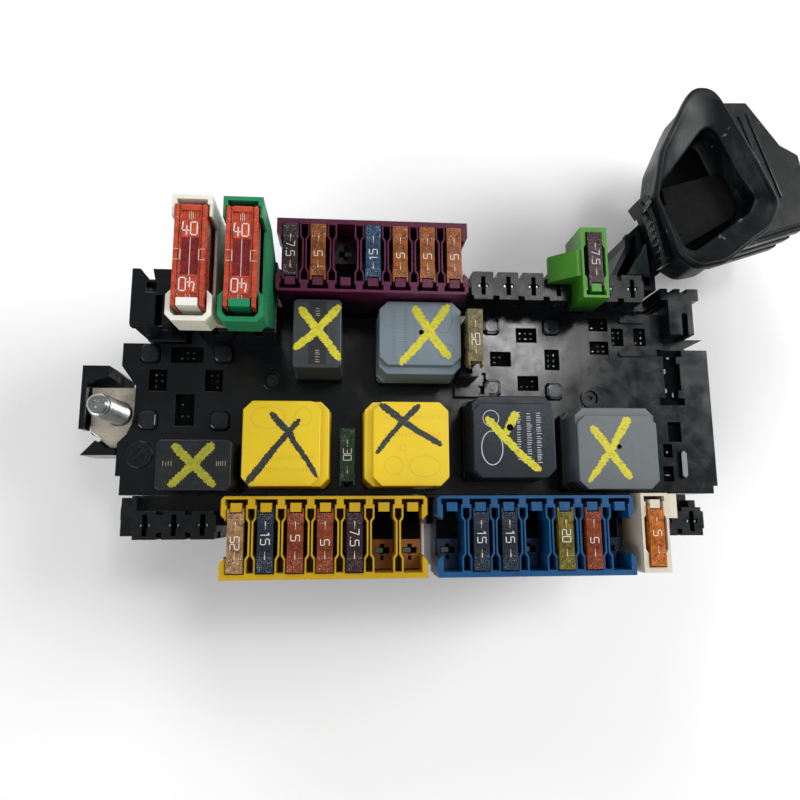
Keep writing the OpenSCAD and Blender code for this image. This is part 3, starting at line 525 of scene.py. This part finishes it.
# node: colour, rating in amperes, and whether the numerals are flipped
for node, (colour, text, flip) in {
        "purple_fuse_1": ("brown", "7.5", False), "purple_fuse_2": ("orange", "5", True),
        "purple_fuse_4": ("blue", "15", True), "purple_fuse_5": ("orange", "5", True),
        "purple_fuse_6": ("orange", "5", True), "purple_fuse_7": ("orange", "5", True),
        "yellow_fuse_1": ("clear", "25", False), "yellow_fuse_2": ("navy", "15", True),
        "yellow_fuse_3": ("red", "5", True), "yellow_fuse_4": ("red", "5", False),
        "yellow_fuse_5": ("brown", "7.5", True), "blue_fuse_2": ("navy", "15", True),
        "blue_fuse_3": ("navy", "15", True), "blue_fuse_5": ("yellow", "20", True),
        "blue_fuse_6": ("red", "5", False), "green_carrier_fuse": ("brown", "7.5", False),
        "cream_carrier_fuse": ("amber", "5", True), "green_panel_fuse": ("green", "30", False),
        "clear_panel_fuse": ("pale", "25", True)}.items():
    blade_fuse(node, colour, text, flip)


def maxi_fuse(node):
    """Tall fuse with side rails, a dark window, pale cross marks and the rating at both ends."""
    cx, cy = centre(node)[:2]
    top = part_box(node)[1].z / MM
    tall = 21.0
    head, deck, plate = 15.1, tall - 0.9, tall - 0.6
    root = deck - 0.1
    s = Shape()
    # the groove for the latch is at the -Y end
    s.box(0, 1.3, 8.7, 26.4, head, deck)
    s.box(0, 0.9, 7.1, 25.6, 0.3, head + 0.1)
    for e in (-1, 1):
        s.box(e * 3.7, -13.1, 1.1, 2.7, 0.6, deck)
        s.prism(chamfered(1.15, 28.8, 0.35, e * 3.75), root, tall - 0.05)
        s.box(e * 2.75, 1.3, 0.22, 26.0, root, tall - 0.35)
        s.box(e * 2.5, 0.0, 0.2, 3.2, deck, tall - 0.2, 1)
        for q in (-1.5, 1.5):
            s.box(e * 3.5, q, 1.3, 0.16, tall - 0.2, tall - 0.02, 1)
    s.box(0, 13.6, 5.2, 1.6, root, tall - 0.3)
    s.box(0, -0.25, 4.6, 10.3, deck - 0.05, deck + 0.1, 4)
    # bright line down the middle of the window: a painted highlight
    s.box(0, 1.0, 0.2, 24.0, deck - 0.05, deck + 0.18, 1)
    for x, y, turn in ((-0.3, 7.6, 0.0), (-0.4, -8.3, math.pi)):
        s.box(0, y, 4.8, 5.0, deck - 0.05, plate)
        s.digits("40", (x, y), 1.75, turn, plate, 0.34, 2, 1.3)
        for e in (-0.5, 0.5):
            s.box(e, y + math.copysign(3.6, y), 0.16, 1.8, plate - 0.2, plate + 0.15, 1)
    for y in (-9.2, 9.2):
        s.box(0, y, 0.75, 5.3, -12.9, 1.0, 3)
    finish_piece(node + "_body", s, node,
                 [FUSE["maxi"], LINE, WHITE_INK, BRIGHT, FUSE["maxi_dark"]],
                 at=(cx, cy, top - tall), bevel=0.12, replaces=(node,))


for node in ("maxi_fuse_1", "maxi_fuse_2"):
    maxi_fuse(node)


# ---------- relays ----------

def felt_line(s, pts, width, z, seed, mat, ragged=0.26, taper=0.3):
    """Felt-pen stroke: a thin ribbon with ragged edges that narrows along its length by taper."""
    thick, stride = 0.035, 0.22
    rng = random.Random(seed)
    line = [Vector(p) for p in pts]
    path = []
    for a, b in zip(line, line[1:]):
        steps = max(2, int((b - a).length / stride))
        path += [a.lerp(b, i / steps) for i in range(steps)]
    path.append(line[-1])
    left, right = [], []
    for i, p in enumerate(path):
        d = (path[min(i + 1, len(path) - 1)] - path[max(i - 1, 0)]).normalized()
        side = Vector((-d.y, d.x))
        t = i / (len(path) - 1)
        w = 0.6 * width * (1 - taper * t) * (1 - 0.5 * max(0.0, 1 - 14 * min(t, 1 - t)))
        left.append(p + side * (w + rng.uniform(-ragged, ragged) * width / 2))
        right.append(p - side * (w + rng.uniform(-ragged, ragged) * width / 2))
    rings = []
    for a, b in zip(left, right):
        rings.append([(a.x, a.y, z), (b.x, b.y, z), (b.x, b.y, z + thick), (a.x, a.y, z + thick)])
    s.loft(rings, mat)


def print_rows(s, rows, z, mat, seed, turn=0.0):
    """Rows of short plain dashes in place of the print. Each row has x, a first and last y, and the
    length of its dashes."""
    rng = random.Random(seed)
    for x, y0, y1, size in rows:
        y = y0
        while y < y1:
            step = rng.uniform(0.55, 0.95)
            p, q = Vector((x - size / 2, y)), Vector((x + size / 2 * rng.uniform(0.3, 1), y))
            p.rotate(Matrix.Rotation(turn, 2))
            q.rotate(Matrix.Rotation(turn, 2))
            s.stroke([tuple(p), tuple(q)], 0.2, z, z + INK, mat)
            y += step


def ring_mark(s, x, y, rx, ry, z, mat, width=0.22):
    """Thin oval ring of print."""
    n = 40
    inner = oval(x, y, rx - width, ry - width, n)
    outer = oval(x, y, rx, ry, n)
    for i in range(n):
        j = (i + 1) % n
        s.prism([inner[i], outer[i], outer[j], inner[j]], z, z + INK, mat)


def dot_mark(s, x, y, r, tip, z):
    """Small dark vent hole: a low dome whose radius falls from r to tip, in near-black painted shade."""
    s.turned([(r, z), (r, z + 0.06), (tip, z + 0.062)], x, y, 20, 2)


def relay(node, cover, step, top, marks, chamfer=2.6):
    """Relay with a dark base, a drafted cover, four blades and marks. step is the direction in plan of
    the edge that is stepped down, and the narrow relays have none. top is its height on the panel."""
    lo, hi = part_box(node)
    c = centre(node)
    w, d = (hi - lo).xy / MM
    sx, sy = step
    stepped = bool(sx or sy)
    shoulder = top - 1.9 if stepped else top - 0.1
    s = Shape()
    s.prism(chamfered(w - 0.1, d - 0.1, 1.4), 1.5, 3.9, 1)
    s.loft([[(x, y, z) for x, y in chamfered(w - 0.1 - k, d - 0.1 - k, chamfer - 0.4)]
            for z, k in ((4.0, 0.2), (4.6, 0.0), (6.0, 0.35))], 0)
    s.loft([[(x, y, z) for x, y in chamfered(w - k, d - k, chamfer)]
            for z, k in ((5.5, 0.45), (shoulder, 0.8))], 0)
    if stepped:
        cut = 2.6
        outline = chamfered(w - 0.9 - abs(sx) * cut, d - 0.9 - abs(sy) * cut, chamfer + 0.2,
                            -sx * cut / 2, -sy * cut / 2)
        s.prism(outline, shoulder - 0.3, top - 0.08, 0)
    # blades, at their distance from the middle along each axis
    ox, oy = (8.5, 8.5) if stepped else (5.0, 8.6) if d > w else (8.6, 5.0)
    for dx, dy, bw, bd in ((1, 0, 0.75, 6.2), (-1, 0, 0.75, 6.2), (0, 1, 6.2, 0.75), (0, -1, 6.2, 0.75)):
        s.box(dx * ox, dy * oy, bw, bd, -9.4, 2.5, 2)
    finish_piece(node + "_cover", s, node, [cover, BLACK, BRIGHT], at=(c.x, c.y, TOP),
                 bevel=0.3, replaces=(node,))
    m = Shape()
    mats = marks(m, top - 0.085)
    finish_piece(node + "_marks", m, node, mats, at=(c.x, c.y, TOP))


# Each of these draws one relay's felt-pen cross, rings and dashes, and returns their materials.

def marks_yellow_1(m, z):
    felt_line(m, [(-11.6, -12.4), (-7.6, -7.4), (-3.8, -2.2), (0.6, 3.2), (4.4, 7.6)],
              2.0, z + 0.02, 1, 0)
    felt_line(m, [(-4.9, 9.7), (-2.2, 6.6), (1.2, 3.2), (3.0, -0.2), (6.4, -4.8), (10.1, -10.7)],
              1.8, z, 2, 0)
    ring_mark(m, -5.6, 8.0, 5.4, 3.6, z, 1)
    ring_mark(m, 5.4, 8.4, 2.7, 3.0, z, 1)
    print_rows(m, [(-4.4, -8.6, 8.6, 1.3), (-8.2, -8.6, 8.6, 1.3)], z, 1, 5, math.pi / 2)
    # the embossed rings and dashes are a darker yellow: painted shade on the relief
    return [BLACK_INK, moulded("embossed_yellow_shade_1", (206, 168, 40), (0.4, 0.5), dust=0.02)]


def marks_yellow_2(m, z):
    felt_line(m, [(-8.7, 12.6), (-5.4, 10.4), (-1.3, 7.2), (3.4, 4.0), (8.0, 1.4), (11.2, -0.6)],
              1.9, z, 3, 0, taper=0.2)
    felt_line(m, [(4.2, 12.6), (-1.3, 7.2), (-5.6, 2.2), (-9.9, -3.2)], 1.7, z + 0.02, 4, 0)
    ring_mark(m, -1.2, -1.2, 1.2, 1.2, z, 1)
    ring_mark(m, -4.2, -7.0, 3.0, 3.0, z, 1)
    ring_mark(m, 5.6, -7.2, 5.0, 3.4, z, 1)
    print_rows(m, [(3.0, -10.5, 7.5, 1.3), (8.6, -10.5, 7.5, 1.3)], z, 1, 6, math.pi / 2)
    # the embossed rings and dashes are a darker yellow: painted shade on the relief
    return [BLACK_INK, moulded("embossed_yellow_shade_2", (206, 168, 40), (0.4, 0.5), dust=0.02)]


def marks_black(m, z):
    felt_line(m, [(-9.2, 6.2), (-6.2, 2.8), (-2.9, -0.8), (2.0, -6.0), (6.9, -10.2), (8.4, -10.8)],
              2.2, z, 7, 0, taper=0.15)
    felt_line(m, [(1.0, 7.8), (-0.8, 4.6), (-2.8, 0.6)], 2.6, z + 0.02, 8, 0)
    ring_mark(m, -7.4, -3.8, 3.6, 5.6, z, 1, 0.28)
    ring_mark(m, -7.6, 5.8, 2.7, 2.7, z, 1, 0.2)
    dot_mark(m, -1.4, 2.8, 1.15, 0.5, z)
    print_rows(m, [(5.0, -8.5, 8.0, 1.5), (8.2, -8.5, 8.0, 1.5), (1.6, -7.5, 8.0, 1.2)], z, 1, 9)
    return [YELLOW_INK, ink("pale_print", (196, 200, 204), patchy=0.4, under=(80, 86, 92)), SHADE_BLACK]


def marks_grey(m, z):
    felt_line(m, [(-8.7, 7.1), (-5.2, 2.6), (-1.2, -3.2), (3.8, -10.0)], 2.2, z, 11, 0, taper=0.1)
    felt_line(m, [(4.2, 10.0), (1.6, 6.0), (-0.9, 1.8), (-2.4, -0.8)], 2.6, z + 0.02, 12, 0)
    felt_line(m, [(-3.0, -1.4), (-4.6, -3.4), (-7.4, -7.4), (-10.4, -11.2)],
              2.0, z + 0.02, 13, 0, ragged=0.4)
    ring_mark(m, -6.9, -4.6, 2.9, 5.0, z, 1)
    ring_mark(m, -7.2, 6.6, 2.6, 2.8, z, 1)
    dot_mark(m, 0.4, 0.4, 0.8, 0.3, z)
    print_rows(m, [(4.6, -9.0, 8.0, 1.5), (8.0, -9.0, 8.0, 1.5), (1.8, -9.5, 6.0, 1.2)], z, 1, 14)
    return [YELLOW_INK, GREY_INK, SHADE_BLACK]


def marks_blue_grey(m, z):
    felt_line(m, [(-2.2, 10.3), (1.0, 5.2), (4.6, -0.6), (9.7, -7.0)], 2.4, z, 15, 0, taper=0.1)
    felt_line(m, [(9.6, 11.2), (6.2, 6.4), (2.6, 1.4), (-2.4, -4.4), (-6.8, -9.2)],
              2.2, z + 0.02, 16, 0, taper=0.1)
    ring_mark(m, 7.8, 6.4, 2.9, 5.0, z, 1)
    ring_mark(m, 8.4, -4.6, 2.6, 2.6, z, 1)
    dot_mark(m, 0.3, 1.6, 0.8, 0.3, z)
    print_rows(m, [(-4.8, -8.0, 9.5, 1.5), (-8.6, -8.0, 9.5, 1.5), (-1.6, -8.5, 6.0, 1.2)], z, 1, 17)
    return [YELLOW_INK, GREY_INK, SHADE_BLACK]


def marks_narrow_rear(m, z):
    m.box(0.1, 0.2, 5.7, 20.6, z - 0.01, z + 0.02, 1)
    felt_line(m, [(-5.7, 8.5), (-1.8, 3.4), (3.0, -2.6), (7.4, -8.8)], 2.2, z + 0.02, 18, 0, taper=0.1)
    felt_line(m, [(7.2, 9.2), (3.0, 4.4), (-1.6, -0.6), (-7.4, -5.4)], 2.2, z + 0.04, 19, 0, taper=0.1)
    ring_mark(m, -5.0, -0.4, 1.5, 1.5, z, 2)
    print_rows(m, [(5.2, -9.4, 9.4, 1.8)], z, 2, 20)
    print_rows(m, [(0.2, -9.4, -5.6, 1.3), (0.2, 5.8, 9.0, 1.3)], z + 0.01, 3, 25)
    return [YELLOW_INK, moulded("label_dark", (22, 24, 27), (0.35, 0.5)), ink("dark_print", (34, 38, 42)),
            ink("pale_label_print_2", (170, 160, 140), under=(60, 58, 54))]


def marks_narrow_front(m, z):
    m.box(0.2, 0.1, 20.6, 5.7, z - 0.01, z + 0.02, 1)
    felt_line(m, [(-6.4, 6.2), (-1.8, 1.6), (3.0, -3.0), (6.6, -6.6)], 2.2, z + 0.02, 21, 0, taper=0.1)
    felt_line(m, [(5.8, 6.6), (1.2, 1.4), (-2.6, -2.4), (-7.0, -6.6)], 2.2, z + 0.04, 22, 0, taper=0.1)
    ring_mark(m, -0.4, 5.0, 1.5, 1.5, z, 2)
    print_rows(m, [(-5.2, -9.4, 9.4, 1.8)], z, 2, 23, math.pi / 2)
    print_rows(m, [(0.4, -9.6, -6.4, 1.3), (0.4, 6.6, 9.2, 1.3)], z + 0.01, 3, 24, math.pi / 2)
    return [DULL_INK, moulded("label_dark_2", (11, 12, 14), (0.35, 0.5)), ink("dark_print_2", (20, 22, 25)),
            ink("pale_label_print", (150, 140, 120), under=(60, 58, 54))]


relay("yellow_relay_1", YELLOW_COVER, (1, 0), 20, marks_yellow_1)
relay("yellow_relay_2", YELLOW_COVER, (-1, 0), 20, marks_yellow_2)
relay("black_relay", BLACK_COVER, (0, 1), 20, marks_black)
relay("grey_relay", GREY_COVER, (0, 1), 20, marks_grey)
relay("blue_grey_relay", BLUE_GREY_COVER, (0, -1), 20, marks_blue_grey)
relay("narrow_relay_rear", DARK_GREY_COVER, (0, 0), 22, marks_narrow_rear, chamfer=1.0)
relay("narrow_relay_front", DARKER_COVER, (0, 0), 22, marks_narrow_front, chamfer=1.0)


# ---------- panel details ----------

def stud():
    """Supply stud: head, rings for its M8 thread, and a plain end with a small dimple."""
    c = centre("supply_stud")
    lo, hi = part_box("supply_stud")
    z0, z1 = lo.z / MM, hi.z / MM
    crest, root, pitch = 3.98, 3.4, 1.25
    first, last = 41.7, 60.3
    profile = [(5.2, z0 + 0.05), (5.35, z0 + 0.4), (5.35, z0 + 4.8), (3.7, z0 + 5.0), (3.7, first - 0.1)]
    z = first
    while z < last:
        profile += [(crest, z), (crest, z + 0.16), (root, z + 0.62), (root, z + 0.78)]
        z += pitch
    profile += [(root, 60.9), (3.05, 61.0), (3.05, z1 - 0.5), (2.6, z1 - 0.05), (1.2, z1 - 0.06),
                (0.9, z1 - 0.5)]
    s = Shape()
    s.turned(profile, 0, 0, 48)
    finish_piece("supply_stud_thread", s, "panel", [ZINC], at=(c.x, c.y, 0),
                 replaces=("supply_stud",))


stud()


# recesses of the open sockets: centre x and y, width and depth
SOCKETS = [(-92.7, 6.1, 6, 7.6), (-73.9, 6.1, 6, 7.6), (-83.3, 15.1, 11, 5.6), (-83.3, -4.2, 6.4, 11),
           (36.8, 24.2, 7.6, 5.4), (27.0, 15.2, 7.6, 5.4), (46.0, 15.2, 5.4, 7.6), (36.8, 6.4, 7.6, 5.4),
           (63.9, 28.7, 7.2, 4.9), (63.9, 19.9, 7.2, 4.9), (71, 24.1, 4.5, 6.6), (79.5, 24.3, 4.5, 6.6)]
# slots and windows of the right-hand column and of the strip by the clear fuse
WINDOWS = [(90.4, 9.2, 5, 20), (90.4, 18.4, 9.4, 2.6), (90.4, 0.2, 9.4, 2.6), (92.6, 9.4, 3, 10),
           (90.3, -10.9, 5, 7.2), (87.3, -17.7, 3.4, 4.8), (87, -26, 3.8, 5.4)]


def dark_floors():
    """Near-black floors of the recesses, painted shade, each a little higher than the last so that none
    coincide.
    """
    s = Shape()
    for i, (x, y, w, d) in enumerate(SOCKETS + WINDOWS):
        s.box(x, y, w + 0.2, d + 0.2, TOP - RECESS - 0.09, TOP - RECESS + 0.02 * (i % 7))
    finish_piece("recess_floors", s, "panel", [SHADE_BLACK])


def contacts():
    """Spring contacts that catch the light at the bottom of the sockets and the long slot; most are in the
    darker metal of painted shade.
    """
    floor = TOP - RECESS
    s = Shape()
    for i, (x, y, w, d) in enumerate(SOCKETS):
        rng = random.Random(i)
        along = w > d
        for a in (-2.0, 0, 2.0):
            for b in (-1.0, 1.0):
                if rng.random() < 0.2:
                    continue
                px, py = (a, b) if along else (b, a)
                length = rng.uniform(0.4, 0.9)
                cw, cd = (length, 0.4) if along else (0.4, length)
                s.box(x + px, y + py, cw, cd, floor, floor + 0.7, rng.choice((0, 1, 1)))
    for x, y, w, d in ((88.6, 11.6, 0.8, 1.8), (88.6, 4.4, 0.9, 1.6), (90.2, 16.6, 1.0, 0.8),
                       (91.2, 2.8, 0.6, 1.6), (87.4, -18.2, 0.8, 0.8), (87.0, -26.4, 1.8, 0.6)):
        s.box(x, y, w, d, floor, floor + 1.0, 1)
    finish_piece("socket_contacts", s, "panel", [BRIGHT, SHADED_CONTACT], bevel=0.06, segments=1)


# bosses round the two open sockets: their centre and width
BOSSES = [(-95.6, 15.3, 6.0), (-70.9, 15.5, 6.0), (-95.3, -7.8, 6.0), (-71.3, -8.0, 6.0),
          (23.7, 27.2, 5.6), (46.0, 27.4, 5.6), (23.5, 4.4, 5.6), (46.1, 3.4, 5.6)]


def boss_caps():
    """Glossy rounded caps of the location bosses, a lighter black of painted sheen, each in a near-black
    outline of painted shade.
    """
    s = Shape()
    for x, y, w in BOSSES:
        s.prism(chamfered(w + 0.9, w + 0.9, w / 5, x, y), TOP - 0.2, TOP + 0.06, 1)
        s.loft([[(px, py, TOP + z) for px, py in chamfered(w + k, w + k, w / 5.5, x, y)]
                for z, k in ((0.02, 0.3), (0.9, 0.12), (1.25, -0.3), (1.42, -0.9), (1.46, -1.6))], 0)
        s.prism(chamfered(w - 3.4, w - 3.4, 0.7, x, y), TOP + 1.4, TOP + 1.56, 0)
    finish_piece("boss_caps", s, "panel", [RAISED_SHEEN, SHADE_BLACK], bevel=0.4, segments=3)


def date_dial():
    """Moulded dial with rings, short marks and an arrow in a lighter black of painted sheen, and the pale
    top of the rib by the right edge, a painted sheen.
    """
    s = Shape()
    cx, cy = -97.6, -19.4
    z = TOP + 0.48
    for r in (4.2, 2.7):
        ring_mark(s, cx, cy, r, r, z, 0, 0.3)
    for i in range(12):
        a = math.tau * i / 12
        c, d = math.cos(a), math.sin(a)
        s.stroke([(cx + 3.05 * c, cy + 3.05 * d), (cx + 3.6 * c, cy + 3.6 * d)], 0.35, z, z + 0.06, 0)
    s.stroke([(cx - 1.2, cy - 1.2), (cx + 1.2, cy + 1.2)], 0.5, z, z + 0.07, 0)
    s.prism([(cx + 1.7, cy + 1.7), (cx + 0.4, cy + 1.5), (cx + 1.5, cy + 0.4)], z, z + 0.09, 0)
    # pale top of the rib: painted sheen
    s.prism(chamfered(1.9, 9.6, 0.9, 92.5, -22.6), TOP + 1.2, TOP + 1.5, 1)
    finish_piece("date_dial", s, "panel",
                 [RAISED_SHEEN, moulded("rib_sheen", (128, 132, 134), (0.3, 0.5))])


# carrier: x and y of its middle, the way its outer side faces, and its empty cells
EMPTY_CELLS = {"purple": (-20.1, 42.6, 1, (3,)),
               "yellow": (-34.3, -46.2, -1, (1, 2)),
               "blue": (30.6, -46.2, -1, (1, 4, 7))}
# plates on the floor of a cell: x, y, width, depth, low, high above the seat, and material
CELL_PLATES = [(0, -3.7, 6.8, 9.8, 0.02, 0.12, 1), (0, 1.9, 6.8, 1.4, 0.02, 0.21, 0),
               (-2.05, 4.2, 2.7, 3.2, 0.02, 0.21, 0), (2.05, 4.2, 2.7, 3.2, 0.02, 0.21, 0),
               (0, 4.2, 1.4, 3.2, 0.02, 0.1, 1), (0, 8.0, 6.8, 4.4, 0.02, 0.21, 0),
               (0, 6.9, 1.0, 1.4, 0.2, 0.26, 1), (0, 4.6, 4.6, 1.9, 0.1, 0.24, 1),
               (0.9, 4.6, 2.4, 1.5, 0.2, 0.3, 2)]


def cell_floors():
    """Floors of the empty fuse cells: a plate in the carrier's colour darkened with painted shade, with a
    keyhole and a metal tongue in a darker copy of the metal, painted shade, on the outer half, and
    near-black painted shade on the inner half and in the keyhole."""
    for carrier, (x0, y0, face, empty) in EMPTY_CELLS.items():
        s = Shape()
        for i in empty:
            x = x0 + (i - 4) * CELL_PITCH * face
            for px, py, w, d, low, high, mat in CELL_PLATES:
                s.box(x + px * face, y0 + py * face, w, d, TOP + SEAT + low, TOP + SEAT + high, mat)
        finish_piece(carrier + "_cell_floors", s, "panel",
                     [SHADED_CELL_FLOOR[carrier], SHADE_BLACK, SHADED_CONTACT])


dark_floors()
contacts()
boss_caps()
date_dial()
cell_floors()


# ---------- boot ----------

def polar(points, soften):
    """Radii of an outline at equal angles round the boot's centre, with its corners softened."""
    n = 144
    cx, cy = BOOT_CENTRE
    radii = []
    for i in range(n):
        d = Vector((math.cos(math.tau * i / n), math.sin(math.tau * i / n)))
        best = 0.0
        for a, b in zip(points, points[1:] + points[:1]):
            ax, ay = a[0] - cx, a[1] - cy
            ex, ey = b[0] - a[0], b[1] - a[1]
            den = d.x * ey - d.y * ex
            if abs(den) < 1e-9:
                continue
            t = (ax * ey - ay * ex) / den
            u = (ax * d.y - ay * d.x) / den
            if t > 0 and -1e-9 <= u <= 1 + 1e-9:
                best = max(best, t)
        radii.append(best)
    for _ in range(soften):
        radii = [(radii[i - 1] + 2 * radii[i] + radii[(i + 1) % n]) / 4 for i in range(n)]
    return radii


BOOT_CENTRE = (96.0, 70.0)
BOOT_OUTLINE = [(94, 111), (81, 86.5), (76.8, 68), (84.5, 46.6), (91.6, 42.5), (101, 44.5), (119.4, 58.6),
                (123.4, 67.3), (117.4, 82.2), (102.5, 111)]
MOUTH_OUTLINE = [(99, 97), (82, 75), (80.4, 69.7), (88.6, 50.8), (92, 49.8), (113.4, 65), (116, 70.6),
                 (108.9, 83), (103, 97)]


# rings of the boot, in order: outside and mouth with (growth, height on the panel), and the lip between
# them with (share of the way to the mouth, height)
BOOT_OUTSIDE = [(-2.6, 4.1), (-2.2, 5.0), (-2.4, 12.0), (-2.1, 18.6), (-2.0, 19.3), (-0.5, 20.3),
                (-0.15, 21.0), (-0.1, 22.6), (-0.4, 23.4), (-1.0, 23.8), (-1.7, 23.85)]
BOOT_LIP = [(0.25, 23.2), (0.5, 22.2), (0.75, 21.3), (0.9, 20.9), (0.96, 20.6)]
BOOT_MOUTH = [(-0.1, 20.2), (0.2, 19.4), (0.5, 15.0), (1.2, 7.4)]


def boot():
    """Rubber boot with a rolled lip, and inside its mouth a near-black lining band of painted shade and the
    flaps.
    """
    outer = polar(BOOT_OUTLINE, 3)
    mouth = polar(MOUTH_OUTLINE, 2)

    def ring(radii, grow, z):
        pts = []
        for i, r in enumerate(radii):
            a = math.tau * i / len(radii)
            pts.append((BOOT_CENTRE[0] + (r + grow) * math.cos(a),
                        BOOT_CENTRE[1] + (r + grow) * math.sin(a), TOP + z))
        return pts

    rings = [ring(outer, grow, z) for grow, z in BOOT_OUTSIDE]
    rings += [ring([o * (1 - t) + m * t for o, m in zip(outer, mouth)], 0, z) for t, z in BOOT_LIP]
    rings += [ring(mouth, grow, z) for grow, z in BOOT_MOUTH]
    s = Shape()
    s.loft(rings, 0)
    finish_piece("rubber_boot_shell", s, "panel", [rubber("boot_rubber", (14, 17, 19))],
                 smooth=True, replaces=("rubber_boot",))
    lining = Shape()
    # near-black band round the inside of the mouth: painted shade
    lining.loft([ring(mouth, -0.25, 7.5), ring(mouth, -0.9, 7.9)], 0)
    lining.prism([(85.6, 77.0), (87.5, 66.8), (92.4, 55.0), (112.0, 66.4), (113.6, 71), (110.7, 85.0)],
                 TOP + 8.0, TOP + 12.4, 1)
    lining.prism([(83.4, 68.6), (88.4, 57.4), (91.4, 58.8), (87.2, 70.4)], TOP + 8.0, TOP + 15.0, 1)
    flap = moulded("flap_plastic", (13, 13, 15), (0.5, 0.7), dust=0.03, scratch=0.02, specular=0.07)
    finish_piece("boot_lining", lining, "panel", [SHADE_BLACK, flap], bevel=0.5)


def tie():
    """Ridged strap hugging the throat of the boot, and its square head."""
    path = [(74.6, 69.0, 20.6), (76.6, 65.0, 20.8), (78.4, 60.4, 20.4), (80.0, 55.6, 19.4),
            (81.8, 50.8, 17.8), (83.4, 46.6, 15.4)]
    points = []
    for a, b in zip(path, path[1:]):
        points += [Vector(a).lerp(Vector(b), k / 6) for k in range(6)]
    points.append(Vector(path[-1]))
    s = Shape()
    rings = []
    for i, p in enumerate(points):
        d = (points[min(i + 1, len(points) - 1)] - points[max(i - 1, 0)]).to_2d().normalized()
        side = Vector((-d.y, d.x))
        ridge = 0.22 if i % 3 == 0 else 0.0
        section = ((-1.1, -5.0), (2.4, -5.0), (2.4, ridge - 0.3), (0.1, ridge),
                   (-0.9 - ridge, ridge - 0.5), (-1.1 - ridge, ridge - 1.2))
        rings.append([(p.x + side.x * u, p.y + side.y * u, TOP + p.z + v) for u, v in section])
    s.loft(rings, 0)
    s.prism([(71.0, 66.4), (74.4, 69.6), (76.6, 67.0), (73.4, 62.4)], TOP + 15.2, TOP + 22.6, 0)
    s.prism([(72.6, 66.2), (74.4, 67.9), (75.4, 66.8), (73.8, 64.8)], TOP + 22.0, TOP + 23.4, 0)
    finish_piece("tie_strap", s, "panel", [NYLON], bevel=0.15, replaces=("cable_tie",))


def arm_gusset():
    """Pale three-cornered web, its rib and the knob on the duct arm."""
    s = Shape()
    z = TOP + 3.8
    s.loft([[(82.6, 60.2, z - 1), (74.4, 46.6, z - 1), (84.2, 46.4, z - 1)],
            [(82.2, 58.2, z + 1.2), (75.6, 47.4, z + 0.1), (83.4, 47.2, z + 0.1)]], 0)
    s.box(84.6, 53.0, 0.9, 12.6, z - 1, z + 0.9, 1)
    s.turned([(1.5, z - 2.0), (1.6, z - 0.2), (1.1, z + 0.1)], 75.9, 61.4, 20, 1)
    finish_piece("arm_gusset", s, "panel", [PALE_ARM, ARM], bevel=0.2)


def flange_edge():
    """Ridges along the edge of the flange box, in a lighter black: painted highlights."""
    s = Shape()
    z = TOP + 4.2
    for k in (0.0, 2.2, 5.4):
        s.stroke([(121.8 + k, 112.0 + 0.4 * k), (132.6 + k, 78.0 + 0.4 * k)], 0.9, z - 0.6, z + 0.12, 0)
    finish_piece("flange_ridges", s, "panel", [RAISED_SHEEN], bevel=0.25)


boot()
arm_gusset()
flange_edge()
dress("boot_flange", rubber("flange_rubber", (14, 16, 17)), bevel=0.6)
tie()


# ---------- stage, light, camera ----------

def pale_floor():
    """White studio floor, 6 m square."""
    mesh = bpy.data.meshes.new("floor")
    r = 3.0
    mesh.from_pydata([(-r, -r, 0), (r, -r, 0), (r, r, 0), (-r, r, 0)], [], [(0, 1, 2, 3)])
    obj = bpy.data.objects.new("floor", mesh)
    scene.collection.objects.link(obj)
    n = Nodes("floor_paint")
    n.link(n.mix(n.ranged(n.noise(3, 2), 0.3, 0.7), (0.93, 0.93, 0.93, 1), (0.95, 0.95, 0.95, 1)),
           n.bsdf.inputs["Base Color"])
    n.fixed(Roughness=0.9, Specular_IOR_Level=0.1)
    mesh.materials.append(n.mat)


def area_light(name, at, size, power, target=(0, 0, 0.04)):
    """Round lamp at a place, aimed at a target, both in metres."""
    data = bpy.data.lights.new(name, "AREA")
    data.shape = "DISK"
    data.size = size
    data.energy = power
    obj = bpy.data.objects.new(name, data)
    scene.collection.objects.link(obj)
    obj.location = at
    obj.rotation_euler = (Vector(target) - Vector(at)).to_track_quat("-Z", "Y").to_euler()


pale_floor()
area_light("key", (1.15, 0.35, 0.95), 0.8, 15)
area_light("fill", (-0.95, -0.75, 1.1), 0.8, 10)
area_light("rear", (-0.35, 1.3, 0.9), 0.7, 7.5)
# small lamp that gives the sheen round the open sockets
area_light("window", (0.31, 0.3, 1.1), 0.22, 1.7, (0.04, 0.02, 0.04))
world = bpy.data.worlds.new("studio")
world.use_nodes = True
sky = world.node_tree.nodes["Background"]
sky.inputs["Color"].default_value = (1, 1, 1, 1)
sky.inputs["Strength"].default_value = 0.25
scene.world = world
scene.view_settings.view_transform = "Standard"

# camera of the photograph: its place in millimetres and its turns in radians
CAMERA_AT = (-28.9, -38.3, 272.3)
CAMERA_TURN = {"X": -0.166, "Y": 0.084, "Z": -0.009}
lens = bpy.data.cameras.new("camera")
lens.lens = 29.68
lens.sensor_width = 36
lens.clip_start = 0.01
camera = bpy.data.objects.new("camera", lens)
scene.collection.objects.link(camera)
turn_x, turn_y, turn_z = (Matrix.Rotation(a, 3, k) for k, a in CAMERA_TURN.items())
tilt = turn_z @ turn_y @ turn_x
camera.matrix_world = Matrix.Translation(Vector(CAMERA_AT) * MM) @ tilt.transposed().to_4x4()
scene.camera = camera
